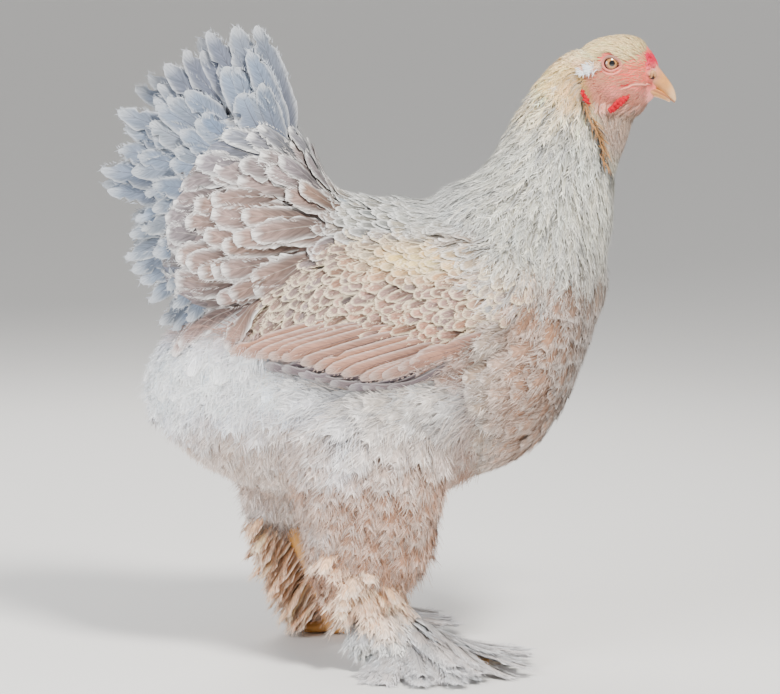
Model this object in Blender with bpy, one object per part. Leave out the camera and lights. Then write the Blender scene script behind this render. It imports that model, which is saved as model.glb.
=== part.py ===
"""A brahma hen, life size, standing with one foot ahead of the other.

The bird faces +X, its right side is at -Y and +Z is up. Tables are in millimetres in the bird's own frame,
whose x = 0 and y = 0 lie between the feet and whose z = 0 is the floor. The model is moved at the end so
that its origin is the middle of its bounding box, at the floor.
"""

import math

import bmesh
import bpy
import numpy as np
from mathutils import Matrix, Vector
from mathutils.bvhtree import BVHTree

MM = 0.001
GAP = 0.32  # left between two nodes that touch
RIGHT, LEFT = -1, 1  # the sign of y on each side

# Upright cross-sections of the trunk, breast first: x, top z, lowest z, half width.
TRUNK = (
    (171, 306, 298, 4),
    (166, 328, 280, 24),
    (156, 349, 256, 54),
    (140, 361, 210, 78),
    (122, 367, 177, 89),
    (98, 371, 155, 96),
    (64, 371, 142, 100),
    (24, 367, 133, 102),
    (-16, 370, 131, 101),
    (-50, 374, 132, 97),
    (-84, 361, 135, 89),
    (-116, 337, 144, 78),
    (-145, 302, 158, 64),
    (-168, 266, 178, 44),
    (-183, 240, 197, 22),
    (-189, 220, 212, 4),
)

# Rings of the neck from the head down: nape x, z, throat x, z, half width.
NECK = (
    (146, 482, 196, 440, 17),
    (134, 475, 192, 424, 20),
    (120, 462, 187, 408, 23),
    (105, 442, 180, 388, 29),
    (91, 418, 177.5, 365, 38),
    (78, 396, 177, 342, 50),
    (61, 381, 172, 318, 66),
    (38, 371, 163, 292, 78),
    (30, 352, 140, 284, 66),
    (48, 334, 112, 296, 30),
)

# Rings of the head from the nape to the beak: top x, z, low x, z, half width.
HEAD = (
    (148, 470, 160, 448, 8),
    (152, 482, 170, 434, 17),
    (160, 488.5, 181, 424, 21),
    (171, 492, 189, 428, 22.5),
    (184, 493.5, 197, 434, 22),
    (195, 491.5, 202, 439, 19.5),
    (203, 485.5, 205.5, 442, 15.5),
    (208.5, 477, 208, 444.5, 10.5),
    (211, 468, 210, 449, 6),
    (211, 462, 210.5, 455, 2.5),
)

# Rings of the tail's feathered base, saddle first: fore x, z, hind x, z, half width.
TAIL_BASE = (
    (-30, 352, -92, 262, 60),
    (-32, 371, -112, 254, 80),
    (-52, 391, -150, 262, 85),
    (-67, 417, -183, 294, 77),
    (-84, 436, -184, 346, 58),
    (-106, 442, -168, 388, 33),
    (-128, 434, -148, 412, 10),
)

# Rings of each feathered thigh, top first: hind x, z, fore x, z, half width, distance from the middle.
THIGH_RIGHT = (
    (-60, 244, 48, 244, 26, 46),
    (-76, 222, 58, 220, 38, 52),
    (-82, 190, 56, 186, 45, 58),
    (-79, 158, 47, 150, 44, 62),
    (-72, 130, 40, 122, 38, 63),
    (-68, 102, 36, 98, 33, 62),
    (-63, 76, 24, 77, 27, 61),
    (-55, 57, -6, 60, 18, 60),
    (-44, 47, -26, 49, 7, 60),
)
THIGH_LEFT = (
    (-102, 244, 6, 244, 26, 46),
    (-120, 222, 14, 220, 38, 52),
    (-127, 190, 12, 186, 43, 58),
    (-128, 160, -6, 154, 40, 60),
    (-126, 134, -30, 128, 33, 61),
    (-120, 112, -52, 108, 24, 61),
    (-108, 98, -72, 97, 10, 60),
)

EYE_X, EYE_Z, EYE_Y, EYE_RADIUS = 172.8, 471.7, 15.8, 7.4
LID_RADIUS, LID_ROLL, LID_Y = 5.9, 1.3, 21.4

FOOT_Y = 59  # each foot's distance from the middle
RIGHT_FOOT_X, LEFT_FOOT_X = 12, -46
ANKLE_HEIGHT = 13
FLOOR_DROP = 20  # depth of the block that cuts the soles flat

# Where a feather's rows lie along it, by their number, and its half width there as a share of its greatest.
STATIONS = {4: (0, 0.42, 0.82, 1), 5: (0, 0.34, 0.66, 0.89, 1)}
OUTLINE = ((0, 0.45), (0.34, 0.88), (0.66, 1.0), (0.89, 0.82), (1, 0.36))

PALE_CREAM = (0.72, 0.66, 0.58, 1)
LAVENDER_GREY = (0.52, 0.52, 0.58, 1)
FACE_PINK = (0.72, 0.42, 0.36, 1)
COMB_RED = (0.62, 0.05, 0.07, 1)
HORN_YELLOW = (0.72, 0.5, 0.27, 1)
SHANK_YELLOW = (0.78, 0.42, 0.06, 1)
EYE_AMBER = (0.45, 0.22, 0.08, 1)


def clear_scene():
    for obj in list(bpy.data.objects):
        bpy.data.objects.remove(obj)


def material(name, colour, roughness=0.8):
    made = bpy.data.materials.get(name) or bpy.data.materials.new(name)
    made.use_nodes = True
    shader = made.node_tree.nodes["Principled BSDF"]
    shader.inputs["Base Color"].default_value = colour
    shader.inputs["Roughness"].default_value = roughness
    shader.inputs["Metallic"].default_value = 0.0
    return made


def between_rows(rows, count):
    """Rows read at even steps from a smooth curve (Catmull-Rom) through the given rows."""
    rows = np.array(rows, float)
    padded = np.vstack([2 * rows[0] - rows[1], rows, 2 * rows[-1] - rows[-2]])
    where = np.linspace(0, len(rows) - 1, count)
    at = np.minimum(where.astype(int), len(rows) - 2)
    t = (where - at)[:, None]
    a, b, c, d = (padded[at + k] for k in range(4))
    return 0.5 * (2 * b + (c - a) * t + (2 * a - 5 * b + 4 * c - d) * t**2 + (3 * b - a - 3 * c + d) * t**3)


def loft_faces(rings, sides):
    """Quads between rings of the same number of points, with a fan to a pole at each end."""
    faces = []
    for i in range(rings - 1):
        for j in range(sides):
            k = (j + 1) % sides
            faces.append((i * sides + j, i * sides + k, (i + 1) * sides + k, (i + 1) * sides + j))
    first, last = rings * sides, rings * sides + 1
    for j in range(sides):
        k = (j + 1) % sides
        faces.append((first, k, j))
        faces.append((last, (rings - 1) * sides + j, (rings - 1) * sides + k))
    return faces


def solid(name, points, faces, look=None):
    """An object from points in millimetres, its faces turned outwards."""
    mesh = bpy.data.meshes.new(name)
    mesh.from_pydata([tuple(p) for p in np.asarray(points) * MM], [], faces)
    shape = bmesh.new()
    shape.from_mesh(mesh)
    bmesh.ops.recalc_face_normals(shape, faces=shape.faces)
    if shape.calc_volume(signed=True) < 0:
        bmesh.ops.reverse_faces(shape, faces=shape.faces)
    shape.to_mesh(mesh)
    shape.free()
    obj = bpy.data.objects.new(name, mesh)
    bpy.context.scene.collection.objects.link(obj)
    if look:
        mesh.materials.append(look)
    return obj


def loft(name, rows, rings, sides, look=None, fullness=2.1, side=RIGHT):
    """A closed tube of rings, each set upright across the middle plane between an upper and a lower point.

    A ring is a superellipse: its height runs from the lower point to the upper one, and its half width is
    the fifth value of its row. A sixth value is the ring's distance from the middle on the given side.
    """
    rows = between_rows(rows, rings)
    angle = np.arange(sides) * 2 * math.pi / sides
    wide = np.sign(np.cos(angle)) * np.abs(np.cos(angle)) ** (2 / fullness)
    high = np.sign(np.sin(angle)) * np.abs(np.sin(angle)) ** (2 / fullness)
    upper, lower, half = rows[:, 0:2], rows[:, 2:4], rows[:, 4]
    away = rows[:, 5] * side if rows.shape[1] > 5 else np.zeros(rings)
    centre, reach = (upper + lower) / 2, (upper - lower) / 2
    x = centre[:, 0, None] + reach[:, 0, None] * high
    z = centre[:, 1, None] + reach[:, 1, None] * high
    y = away[:, None] + half[:, None] * wide
    points = np.stack([x, y, z], axis=2).reshape(-1, 3)
    ends = [[centre[i, 0], away[i], centre[i, 1]] for i in (0, -1)]
    return solid(name, np.vstack([points, ends]), loft_faces(rings, sides), look)


def tube(name, path, radii, sides, look=None, flat=1.0):
    """A closed tube along a path. flat is its height over its width, and radii holds one radius per point."""
    path = np.array(path, float)
    along = np.gradient(path, axis=0)
    along /= np.linalg.norm(along, axis=1)[:, None]
    points = []
    for centre, forward, radius in zip(path, along, radii):
        side = np.cross((0, 0, 1), forward)
        if np.linalg.norm(side) < 0.2:
            side = np.array((0.0, 1.0, 0.0))
        side /= np.linalg.norm(side)
        up = np.cross(forward, side)
        for j in range(sides):
            a = 2 * math.pi * (j + 0.5) / sides
            points.append(centre + radius * (math.cos(a) * side + flat * math.sin(a) * up))
    ends = [path[0] - along[0] * radii[0] * 0.35, path[-1] + along[-1] * radii[-1] * 0.35]
    return solid(name, np.vstack([points, ends]), loft_faces(len(path), sides), look)


def ball(name, centre, radii, columns=12, rows=8, look=None):
    """An ellipsoid with its poles at top and bottom."""
    shape = bmesh.new()
    bmesh.ops.create_uvsphere(shape, u_segments=columns, v_segments=rows, radius=1)
    mesh = bpy.data.meshes.new(name)
    shape.to_mesh(mesh)
    shape.free()
    mesh.transform(Matrix.Translation(Vector(centre) * MM) @ Matrix.Diagonal([r * MM for r in radii] + [1]))
    if look:
        mesh.materials.append(look)
    obj = bpy.data.objects.new(name, mesh)
    bpy.context.scene.collection.objects.link(obj)
    return obj


def room_for(obj, by=GAP):
    """A hidden helper, the object swollen along its normals, that cuts its neighbours clear of it."""
    mesh = obj.data.copy()
    shape = bmesh.new()
    shape.from_mesh(mesh)
    shape.normal_update()
    for vertex in shape.verts:
        vertex.co += vertex.normal * vertex.calc_shell_factor() * by * MM
    shape.to_mesh(mesh)
    shape.free()
    helper = bpy.data.objects.new(obj.name + "_room", mesh)
    bpy.context.scene.collection.objects.link(helper)
    return hide(helper)


def hide(helper):
    helper.hide_render = True
    helper.display_type = "WIRE"
    return helper


def box(name, low, high):
    """A block between two corners."""
    shape = bmesh.new()
    bmesh.ops.create_cube(shape, size=1)
    mesh = bpy.data.meshes.new(name)
    shape.to_mesh(mesh)
    shape.free()
    low, high = Vector(low) * MM, Vector(high) * MM
    mesh.transform(Matrix.Translation((low + high) / 2) @ Matrix.Diagonal([*(high - low), 1]))
    obj = bpy.data.objects.new(name, mesh)
    bpy.context.scene.collection.objects.link(obj)
    return obj


def apply_modifiers(obj):
    bpy.context.view_layer.update()
    graph = bpy.context.evaluated_depsgraph_get()
    mesh = bpy.data.meshes.new_from_object(obj.evaluated_get(graph))
    obj.modifiers.clear()
    obj.data = mesh


def keep_largest(obj):
    """Drops every closed surface of the object but the one with the largest volume."""
    shape = bmesh.new()
    shape.from_mesh(obj.data)
    bmesh.ops.remove_doubles(shape, verts=shape.verts, dist=1e-6)
    left, parts = set(shape.faces), []
    while left:
        part, edge = set(), [next(iter(left))]
        while edge:
            face = edge.pop()
            if face in left:
                left.remove(face)
                part.add(face)
                edge.extend(g for e in face.edges for g in e.link_faces if g in left)
        parts.append(part)
    if len(parts) > 1:
        parts.sort(key=lambda faces: -sum(f.calc_area() for f in faces))
        loose = [f for part in parts[1:] for f in part]
        bmesh.ops.delete(shape, geom=loose, context="FACES")
        spare = [v for v in shape.verts if not v.link_faces]
        bmesh.ops.delete(shape, geom=spare, context="VERTS")
    shape.to_mesh(obj.data)
    shape.free()


def cut(obj, *cutters, solver="MANIFOLD"):
    """Takes the cutters, which stay in the scene as hidden helpers, away from the object."""
    for cutter in cutters:
        step = obj.modifiers.new("cut", "BOOLEAN")
        step.operation = "DIFFERENCE"
        step.solver = solver
        step.object = cutter
    apply_modifiers(obj)
    keep_largest(obj)
    if not obj.data.vertices:
        raise RuntimeError(obj.name + " was cut away")
    return obj


def fuse(obj, pieces, solver="MANIFOLD"):
    """Joins closed pieces to the object with one Boolean union, and removes them."""
    group = bpy.data.collections.new(obj.name + "_pieces")
    for piece in pieces:
        bpy.context.scene.collection.objects.unlink(piece)
        group.objects.link(piece)
    bpy.context.scene.collection.children.link(group)
    join = obj.modifiers.new("fuse", "BOOLEAN")
    join.operation = "UNION"
    join.solver = solver
    join.operand_type = "COLLECTION"
    join.collection = group
    apply_modifiers(obj)
    for piece in pieces:
        bpy.data.objects.remove(piece)
    bpy.data.collections.remove(group)
    keep_largest(obj)
    return obj


def surface_of(obj):
    """The object's faces as a search tree in millimetres."""
    points = [v.co / MM for v in obj.data.vertices]
    return BVHTree.FromPolygons(points, [tuple(f.vertices) for f in obj.data.polygons])


def beside(surface, x, z, side):
    """The outermost point of a surface at a place seen from the side."""
    return np.array(surface.ray_cast(Vector((x, side * 400, z)), Vector((0, -side, 0)))[0])


def over(surface, start, heading, length, lifts):
    """Points that follow a surface from a start along a heading, raised by the lifts, and their normals."""
    spot, normal = (np.array(v) for v in surface.find_nearest(Vector(start))[:2])
    path, normals = [spot + normal * lifts[0]], [normal]
    for step, lift in zip(np.diff(STATIONS[len(lifts)]), lifts[1:]):
        flat = heading - normal * np.dot(heading, normal)
        ahead = spot + flat / np.linalg.norm(flat) * length * step
        spot, normal = (np.array(v) for v in surface.find_nearest(Vector(ahead))[:2])
        path.append(spot + normal * lift)
        normals.append(normal)
    return path, normals


def arch(start, end, rise, count):
    """Points from start to end that swell by the rise, a vector, halfway."""
    share = np.array(STATIONS[count])[:, None]
    return np.array(start) + (np.array(end) - start) * share + np.array(rise) * np.sin(math.pi * share)


def vane(path, normals, width, tilt=0.0, thick=0.75, ridge=False, blunt=1.0):
    """One feather: a thin closed body, alike in its triangles on both faces, widest well out, its tip round.

    The tilt, in degrees, turns it about its shaft so that it lies over its neighbour on one side and under
    the one on the other. A ridge raises its middle. Less blunt makes a tapered lock of it.
    """
    path = np.array(path, float)
    along = np.gradient(path, axis=0)
    along /= np.linalg.norm(along, axis=1)[:, None]
    shares = STATIONS[len(path)]
    turn = math.radians(tilt)
    columns = (-1, 0, 1) if ridge else (-1, 1)
    points = []
    for centre, forward, normal, share in zip(path, along, normals, shares):
        half = width / 2 * np.interp(share, *zip(*OUTLINE)) * (1 - (1 - blunt) * share)
        across = np.cross(normal, forward)
        across /= np.linalg.norm(across)
        up = np.cross(forward, across)
        level, upright = across, up
        across = level * math.cos(turn) + upright * math.sin(turn)
        up = upright * math.cos(turn) - level * math.sin(turn)
        for face in (1, -1):
            for k in columns:
                rim = thick * (0.5 - 0.12 * abs(k)) * (1 - 0.2 * share)
                points.append(centre + across * k * half + up * (face * rim - 0.05 * half * abs(k)))
    width_count = len(columns)
    row, faces = 2 * width_count, []
    last = row * (len(path) - 1)
    for i in range(0, last, row):
        for k in range(width_count - 1):
            a = i + k
            b, c, d = a + 1, a + row + 1, a + row
            under = [n + width_count for n in (a, b, c, d)]
            faces += [(a, b, c), (a, c, d)]
            faces += [tuple(under[n] for n in (0, 2, 1)), tuple(under[n] for n in (0, 3, 2))]
        for k, order in ((0, 1), (width_count - 1, -1)):
            a, b, c, d = i + k, i + k + row, i + k + row + width_count, i + k + width_count
            faces += [(a, b, c)[::order], (a, c, d)[::order]]
    for k in range(width_count - 1):
        a, b, c, d = k, k + width_count, k + width_count + 1, k + 1
        faces += [(a, b, c), (a, c, d), (last + c, last + b, last + a), (last + d, last + c, last + a)]
    return solid("vane", points, faces)


def make_trunk(look):
    rows = [(x, top, x, low, half) for x, top, low, half in TRUNK]
    return loft("torso", rows, 18, 20, look, fullness=2.2)


def make_eyes(head, look):
    """Eyeballs, with a raised lid round each, fused to the head, and a socket that fits the eye."""
    eyes, lids = [], []
    for side, word in ((RIGHT, "right"), (LEFT, "left")):
        centre = (EYE_X, side * EYE_Y, EYE_Z)
        eyes.append(ball("eye_" + word, centre, (EYE_RADIUS,) * 3, 14, 8, look))
        turns = np.arange(12) * 2 * math.pi / 12
        ring = [
            (EYE_X + 1.12 * LID_RADIUS * math.cos(t), side * LID_Y, EYE_Z + LID_RADIUS * math.sin(t))
            for t in turns
        ]
        lids.append(closed_ring("lid", ring, LID_ROLL, 5))
    fuse(head, lids)
    return eyes


def closed_ring(name, path, radius, sides):
    """A ring of round section that closes on itself, such as a lid."""
    path = np.array(path)
    middle = path.mean(axis=0)
    points = []
    for centre in path:
        out = centre - middle
        out /= np.linalg.norm(out)
        for j in range(sides):
            a = 2 * math.pi * j / sides
            points.append(centre + radius * (math.cos(a) * out + math.sin(a) * np.array((0, 1, 0))))
    faces, count = [], len(path)
    for i in range(count):
        for j in range(sides):
            m, k = (i + 1) % count, (j + 1) % sides
            faces.append((i * sides + j, i * sides + k, m * sides + k, m * sides + j))
    return solid(name, points, faces)


def make_beak(look):
    """Upper and lower halves, a gap apart along the line of the mouth."""
    upper = loft(
        "beak_upper",
        (
            (203, 481, 200, 458, 9.5),
            (211, 471.5, 205, 455, 8.3),
            (217, 463.5, 211, 452.3, 6.6),
            (222, 457, 217, 448.8, 4.9),
            (225.3, 450.5, 221.5, 445, 3.2),
            (226.6, 444.5, 225, 441.5, 1.3),
        ),
        9, 14, look,
    )
    room = room_for(upper)
    nostrils = [ball("nostril", (207.5, side * 8.2, 463), (2.6, 2.2, 1.0), 10, 6) for side in (RIGHT, LEFT)]
    cut(upper, *[hide(nostril) for nostril in nostrils])
    lower = loft(
        "beak_lower",
        (
            (198, 456.6, 201, 444.5, 8.0),
            (204, 454.2, 205, 443.6, 6.9),
            (211, 451.2, 211.5, 443.0, 5.2),
            (217, 447.6, 217, 442.2, 3.5),
            (221, 444.2, 220.5, 441.6, 1.6),
        ),
        8, 12, look,
    )
    cut(lower, room)
    return upper, lower, [room, room_for(lower)]


def make_comb(look):
    """A pea comb: three low rows of small bulbs over the base of the beak."""
    middle = ((198, 0, 485), (204, 0, 482), (209, 0, 475), (212, 0, 468))
    core = tube("comb", middle, (2.4, 3.6, 3.4, 2.4), 8, look)
    bulbs = []
    for row, (off, radius, count) in enumerate(((0, 2.0, 5), (-3.3, 1.6, 4), (3.3, 1.6, 4))):
        for i in range(count):
            t = (i + 0.5) / count
            x = 199 + 12.5 * t
            z = 487.6 - 3 * t - 14 * t * t - (1.8 if row else 0)
            bulbs.append(ball("bulb", (x, off, z), (radius, radius, radius * 1.15), 6, 5))
    return fuse(core, bulbs)


def make_face_parts(side, word, look):
    """The small wattle under the jaw and the ear lobe behind the cheek."""
    wattle = tube(
        "wattle_" + word,
        ((192, side * 15, 449), (187, side * 19, 444), (181, side * 22.5, 438), (175, side * 22.5, 433)),
        (1.4, 2.6, 3.4, 2.0), 8, look, flat=1.5,
    )
    lobe = tube(
        "ear_lobe_" + word,
        ((150.5, side * 22.5, 455), (152, side * 24, 449), (155, side * 24.5, 443), (158, side * 24, 438)),
        (1.6, 2.6, 3.2, 1.8), 8, look, flat=0.8,
    )
    return [wattle, lobe]


def trunk_side(x, z, rows=between_rows(TRUNK, 200)):
    """Half width of the trunk at a height, from its named cross-sections."""
    top, low, half = (np.interp(-x, -rows[:, 0], rows[:, k]) for k in (1, 2, 3))
    share = np.clip((2 * z - top - low) / (top - low), -1, 1)
    return half * (1 - np.abs(share) ** 2.2) ** (1 / 2.2)


WING_ROWS = (
    # x, upper z, lower z, thickness over the trunk
    (112, 303, 293, 1.5),
    (104, 318, 280, 4.5),
    (84, 330, 262, 6.0),
    (44, 336, 243, 6.0),
    (4, 333, 233, 5.5),
    (-38, 322, 237, 5.0),
    (-76, 304, 246, 4.5),
    (-104, 282, 252, 3.5),
    (-120, 268, 257, 2.0),
)


WING_TIERS = (
    # count, lowest and highest root z, x of each, length, width
    (4, 241, 254, 4, -34, 98, 16),
    (5, 254, 304, -20, -44, 78, 22),
    (5, 254, 316, 28, 2, 64, 24),
    (4, 274, 320, 72, 46, 58, 26),
)


def make_wing(side, word, look):
    """The folded wing: a core over the trunk's side, with its feathers in tiers that point to its tip."""
    rows = between_rows(WING_ROWS, 13)
    across = 7
    outer, inner = [], []
    for x, top, low, thick in rows:
        for j in range(across):
            share = j / (across - 1)
            z = low + (top - low) * share
            swell = 0.25 + 0.75 * math.sin(math.pi * min(max(share, 0.0), 1.0)) ** 0.6
            width = trunk_side(x, z)
            outer.append((x, side * (width + thick * swell), z))
            inner.append((x, side * (width - 6), z))
    count = len(rows)
    faces = []
    size = count * across
    for i in range(count - 1):
        for j in range(across - 1):
            a, b, c, d = (i * across + j, i * across + j + 1, (i + 1) * across + j + 1, (i + 1) * across + j)
            faces += [(a, b, c, d), (size + d, size + c, size + b, size + a)]
    for i in range(count - 1):
        for j in (0, across - 1):
            a, b = i * across + j, (i + 1) * across + j
            faces.append((a, b, size + b, size + a) if j else (b, a, size + a, size + b))
    for j in range(across - 1):
        for i in (0, count - 1):
            a, b = i * across + j, i * across + j + 1
            faces.append((b, a, size + a, size + b) if i else (a, b, size + b, size + a))
    core = solid("wing_" + word, outer + inner, faces, look)
    room = room_for(core, 1.5)
    skin = surface_of(core)
    vanes = []
    for count, low, high, x_low, x_high, length, width in WING_TIERS:
        for i in range(count):
            t = i / (count - 1)
            x, z = x_low + (x_high - x_low) * t, low + (high - low) * t
            start = beside(skin, x, z, side)
            heading = np.array((-150.0 - x, 0, 254 - z + 16 * (t - 0.5)))
            path, normals = over(skin, start, heading, length * (1 - 0.12 * t), (-2.5, 2.2, 4.0, 4.8))
            vanes.append(vane(path, normals, width, tilt=-side * 14, thick=0.6))
    return fuse(core, vanes), room


TAIL_HUB = np.array((-72.0, 0.0, 372.0))  # the tail's feathers spread from here, seen from the side


def from_hub(angle, reach, away):
    """A point of the tail's fan: degrees from straight ahead through up, reach from the hub, y."""
    turn = math.radians(angle)
    return TAIL_HUB + (reach * math.cos(turn), away, reach * math.sin(turn))


def make_tail(look):
    """The tail's feathered base, its large feathers, their coverts and the edge of the cushion under them."""
    base = loft("tail", TAIL_BASE, 13, 16, look)
    room = room_for(base)
    skin = surface_of(base)
    chance = np.random.default_rng(3)
    vanes = []
    for side in (RIGHT, LEFT):
        out = np.array((0.0, side, 0.0))
        tiers = (
            # count, first and last angle, reach, reach gained, y at root and tip, more for the last, width
            (8, 101, 177, 132, 29, 4, 8, 6, 24, 33),
            (5, 108, 184, 106, 26, 14, 20, 8, 20, 34),
            (5, 190, 226, 148, 3, 22, 32, 4, 12, 30),
        )
        for count, first, last, reach, gain, root_y, tip_y, root_more, tip_more, width in tiers:
            for i in range(count):
                t = i / (count - 1)
                angle = first + (last - first) * t + chance.uniform(-1.2, 1.2)
                length = (reach + gain * min(1, 1.25 * t)) * chance.uniform(0.97, 1.02)
                root = from_hub(angle, 30, side * (root_y + root_more * t))
                tip = from_hub(angle + 3, length, side * (tip_y + tip_more * t))
                path = arch(root, tip, out * 5, 5)
                breadth = width * chance.uniform(0.93, 1.05)
                vanes.append(vane(path, [out] * 5, breadth, tilt=-side * 18, ridge=reach == 132))
        for i in range(5):
            angle = 122 + 84 * i / 4
            start = beside(skin, *from_hub(angle, 54, 0)[[0, 2]], side)
            heading = from_hub(angle, 1, 0) - TAIL_HUB
            path, normals = over(skin, start, heading, 48 + 4 * (i % 2), (-3.0, 2.6, 3.6, 4.2))
            vanes.append(vane(path, normals, 38, tilt=-side * 7))
    return fuse(base, vanes), room


def make_thigh(side, word, look):
    """The feathered thigh, with long soft locks that hang from its lower part."""
    rows = THIGH_RIGHT if side == RIGHT else THIGH_LEFT
    thigh = loft("thigh_" + word, rows, 13, 16, look, side=side)
    room = room_for(thigh)
    skin = surface_of(thigh)
    hind_x, hind_z, fore_x, fore_z, half, away = rows[-3]
    middle = np.array(((hind_x + fore_x) / 2, side * away, (hind_z + fore_z) / 2 + 20))
    locks = []
    for i in range(LOCKS):
        turn = 2 * math.pi * (i + 0.3) / LOCKS
        out = np.array((math.cos(turn) * (fore_x - hind_x) / 2, math.sin(turn) * half, 0.0))
        start, normal = (np.array(v) for v in skin.find_nearest(Vector(middle + out * 1.1))[:2])
        flat = out / np.linalg.norm(out)
        end = start + flat * 3 - (0, 0, 38 + 8 * (i % 2))
        path = arch(start - flat * 5, end, flat * 4, 4)
        locks.append(vane(path, [flat] * 4, 32, tilt=10, thick=0.9, blunt=0.75))
    return fuse(thigh, locks), room


LOCKS = 6


def make_leg(side, word, foot_x, thigh_room, looks):
    """Foot with four toes, their claws, and the shank between the foot and the thigh."""
    yellow, horn = looks
    y = side * FOOT_Y
    knob = ball("foot_" + word, (foot_x, y, ANKLE_HEIGHT), (11, 10, 14), 10, 6, yellow)
    toes, claws = [], []
    for number, (heading, length, radius) in enumerate(TOES, 1):
        turn = math.radians(heading) * side
        ahead = np.array((math.cos(turn), math.sin(turn)))
        path, radii = [], []
        for share, height, thick in TOE_SHAPE:
            flat = ahead * length * share
            path.append((foot_x + flat[0], y + flat[1], height))
            radii.append(radius * thick)
        toes.append(tube("toe", path, radii, 7))
        tip = np.array(path[-1])
        forward = np.array((ahead[0], ahead[1], 0))
        claws.append(
            tube(
                f"claw_{word}_{number}",
                (tip - forward * 4, tip + forward * 3 + (0, 0, 0.8), tip + forward * 9 + (0, 0, -1.6)),
                (radius * 0.52, radius * 0.46, radius * 0.16), 7, horn,
            )
        )
    ankle = [(foot_x + dx, y + side * dy, z) for dx, dy, z in ANKLE_PATH]
    toes.append(tube("ankle", ankle, (9, 8.6, 8.0), 12))
    fuse(knob, toes)
    room = room_for(knob)
    centre = np.array((foot_x, y, 0.0))
    fuse(knob, [boot_vane(centre, side, *row) for row in BOOT])
    cut(knob, hide(box("floor", (-300, -300, -FLOOR_DROP), (300, 300, 0))))
    for claw in claws:
        cut(claw, room)
    shank = tube(
        "shank_" + word,
        [(foot_x + dx, y + side * dy, z) for dx, dy, z in SHANK_PATH],
        (8, 9.5, 7.6, 7.0, 7.4, 7.6), 12, yellow,
    )
    cut(shank, room, thigh_room)
    vanes = []
    for height, heading, length in SHANK_FEATHERS[side]:
        turn = math.radians(heading) * side
        out = np.array((math.cos(turn), math.sin(turn), 0.0))
        behind = np.interp(height, (16, 34, 60, 88, 112), (-5, -10, -22, -34, -43))
        start = np.array((foot_x + behind, y, height)) + out * 3
        end = start + out * length * 0.6 - (0, 0, length * 0.8)
        lean = np.cross(out, (0, 0, 1.0))
        vanes.append(vane(arch(start, end, out * 4, 4), [np.cross(lean, end - start)] * 4, 14, thick=0.8))
    return fuse(shank, vanes) if vanes else shank


BOOT = (
    # heading outwards, length, height at the root, halfway and at the tip, width
    (-8, 88, 24, 17, 9.5, 19),
    (7, 106, 21, 14, 8.5, 21),
    (21, 96, 25, 16, 6, 21),
    (39, 84, 21, 14.5, 7, 23),
    (59, 80, 25, 13, 3, 24),
    (80, 74, 21, 10, 2.5, 24),
    (103, 68, 25, 12, 3, 23),
    (128, 58, 21, 10, 2.5, 21),
    (30, 62, 33, 26, 15, 20),
    (64, 56, 34, 25, 13, 20),
    (100, 48, 33, 24, 12, 19),
)


def boot_vane(centre, side, heading, length, root_z, middle_z, tip_z, width):
    """A feather of the foot, from over the toes' roots outwards and down to just over the floor."""
    turn = math.radians(heading) * side
    ahead = np.array((math.cos(turn), math.sin(turn), 0.0))
    heights = (root_z, (root_z + middle_z) / 2 + 2, (middle_z + 2 * tip_z) / 3, tip_z)
    path = [centre + ahead * length * max(s, 0.04) + (0, 0, z) for s, z in zip(STATIONS[4], heights)]
    return vane(path, [np.array((0, 0, 1.0))] * 4, width, tilt=side * 9, thick=0.8)


# Height, heading outwards and length of each. The locks of the right thigh hide those of its shank.
SHANK_FEATHERS = {RIGHT: (), LEFT: ((60, 60, 32), (57, 95, 34), (61, 130, 32), (54, 165, 26))}
ANKLE_PATH = ((-2, 0, 12), (-6, 0, 26), (-13, 0, 41))
SHANK_PATH = ((-45, 1, 126), (-43, 0, 112), (-34, 0, 88), (-22, 0, 60), (-13, 0, 41), (-9, 0, 33))
TOES = ((3, 66, 6.4), (-30, 46, 5.8), (34, 50, 5.8), (168, 26, 5.0))  # heading outwards, length, radius
TOE_SHAPE = ((0.0, 10, 1.15), (0.25, 7, 1.0), (0.5, 5.6, 0.95), (0.75, 4.8, 0.9), (1.0, 4.2, 0.8))


def main():
    clear_scene()
    coat = material("coat", PALE_CREAM)
    grey = material("grey_feathers", LAVENDER_GREY)
    face = material("face", FACE_PINK, 0.6)
    red = material("comb", COMB_RED, 0.5)
    horn = material("horn", HORN_YELLOW, 0.35)
    yellow = material("scales", SHANK_YELLOW, 0.5)
    amber = material("eye", EYE_AMBER, 0.08)

    torso = make_trunk(coat)
    torso_room = room_for(torso)
    neck = loft("neck", NECK, 17, 20, coat)
    neck_room = room_for(neck)
    cut(neck, torso_room)
    head = loft("head", HEAD, 15, 18, face)
    head_room = room_for(head)
    upper, lower, beak_rooms = make_beak(horn)
    eyes = make_eyes(head, amber)
    cut(head, neck_room, *beak_rooms, *[room_for(eye) for eye in eyes])
    cut(make_comb(red), head_room, beak_rooms[0])
    for side, word in ((RIGHT, "right"), (LEFT, "left")):
        for piece in make_face_parts(side, word, red):
            cut(piece, head_room, neck_room)
    tail, tail_room = make_tail(grey)
    cut(tail, torso_room)
    for side, word in ((RIGHT, "right"), (LEFT, "left")):
        wing, wing_room = make_wing(side, word, coat)
        cut(wing, torso_room, neck_room, tail_room)
        thigh, thigh_room = make_thigh(side, word, coat)
        cut(thigh, torso_room, wing_room)
        make_leg(side, word, RIGHT_FOOT_X if side == RIGHT else LEFT_FOOT_X, thigh_room, (yellow, horn))
    centre_on_floor()


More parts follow.
